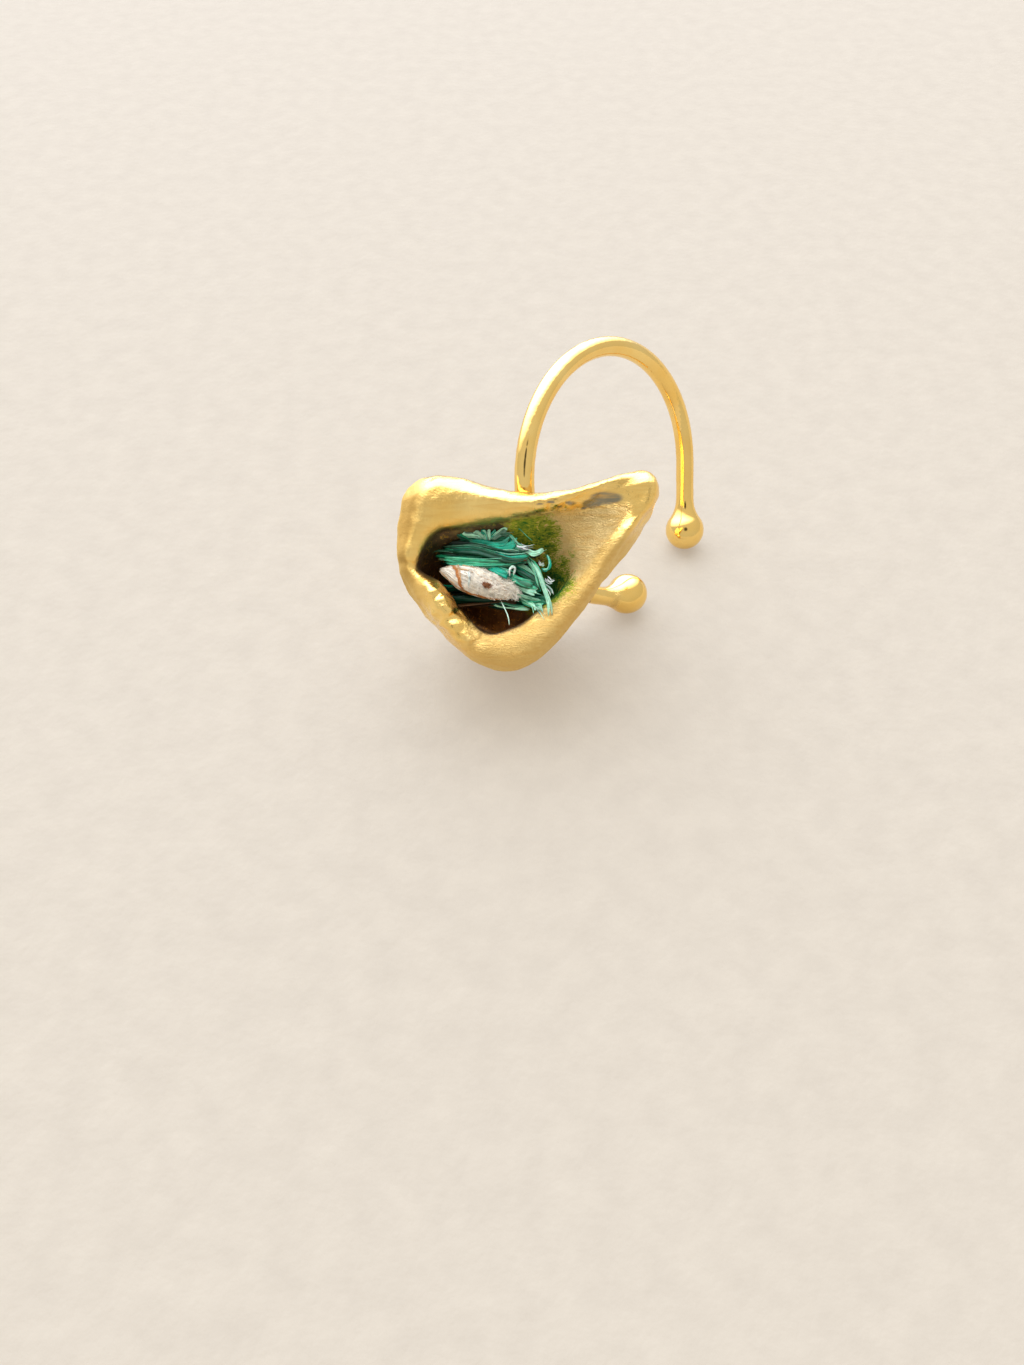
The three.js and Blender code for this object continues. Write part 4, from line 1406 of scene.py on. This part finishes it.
# %% [markdown]
# The light is soft daylight: the world is a pale room with one wide bright part, like a sky seen
# through a window, above and behind the cuff on its left. Polished metal is mostly a picture of
# its surroundings, so the change from that bright part to the plain room is what draws the
# gold's form. A darker spot stands for the viewer. A lamp would only add small hard glints.

# %% Light
SKY_TOWARDS = Vector((-0.24, 0.72, 0.65)).normalized()
SKY_CORE, SKY_EDGE = 34, 64  # degrees from the middle of the bright part
SKY_BRIGHTNESS = 3.7
VIEWER_CORE, VIEWER_EDGE = 7, 13
VIEWER_SHADE = 0.12
WALLS_LOW, WALLS_HIGH = 0.66, 0.78
WALLS_TOP = 0.95  # sine of the height at which the walls are as bright as they get
ROOM_TONE = (1.0, 0.97, 0.92)
SKY_TONE = (0.93, 0.98, 1.12)

world = bpy.data.worlds.new("soft room")
world.use_nodes = True
bpy.context.scene.world = world
room = world.node_tree
direction = add(room, "ShaderNodeTexCoord").outputs["Generated"]


def near_direction(towards, core, edge, inside, outside):
    """One value close to a direction and another away from it, with a soft border."""
    cosine = add(
        room, "ShaderNodeVectorMath", {"operation": "DOT_PRODUCT"}, i0=direction, i1=tuple(towards)
    ).outputs["Value"]
    edge, core = (math.cos(math.radians(angle)) for angle in (edge, core))
    return spread(room, cosine, edge, core, outside, inside)


height = add(room, "ShaderNodeSeparateXYZ", Vector=direction).outputs["Z"]
walls = spread(room, height, 0.0, WALLS_TOP, WALLS_LOW, WALLS_HIGH)
viewer = near_direction(CAMERA_PLACE.normalized(), VIEWER_CORE, VIEWER_EDGE, VIEWER_SHADE, 1.0)
sky = near_direction(SKY_TOWARDS, SKY_CORE, SKY_EDGE, 1.0, 0.0)
shaded_walls = scaled(room, walls, viewer)
brightness = combine(room, "ADD", shaded_walls, scaled(room, sky, SKY_BRIGHTNESS))
background = room.nodes["Background"]
room.links.new(mixed(room, sky, ROOM_TONE, SKY_TONE), background.inputs["Color"])
room.links.new(brightness, background.inputs["Strength"])
print("sky towards:", tuple(round(value, 2) for value in SKY_TOWARDS))
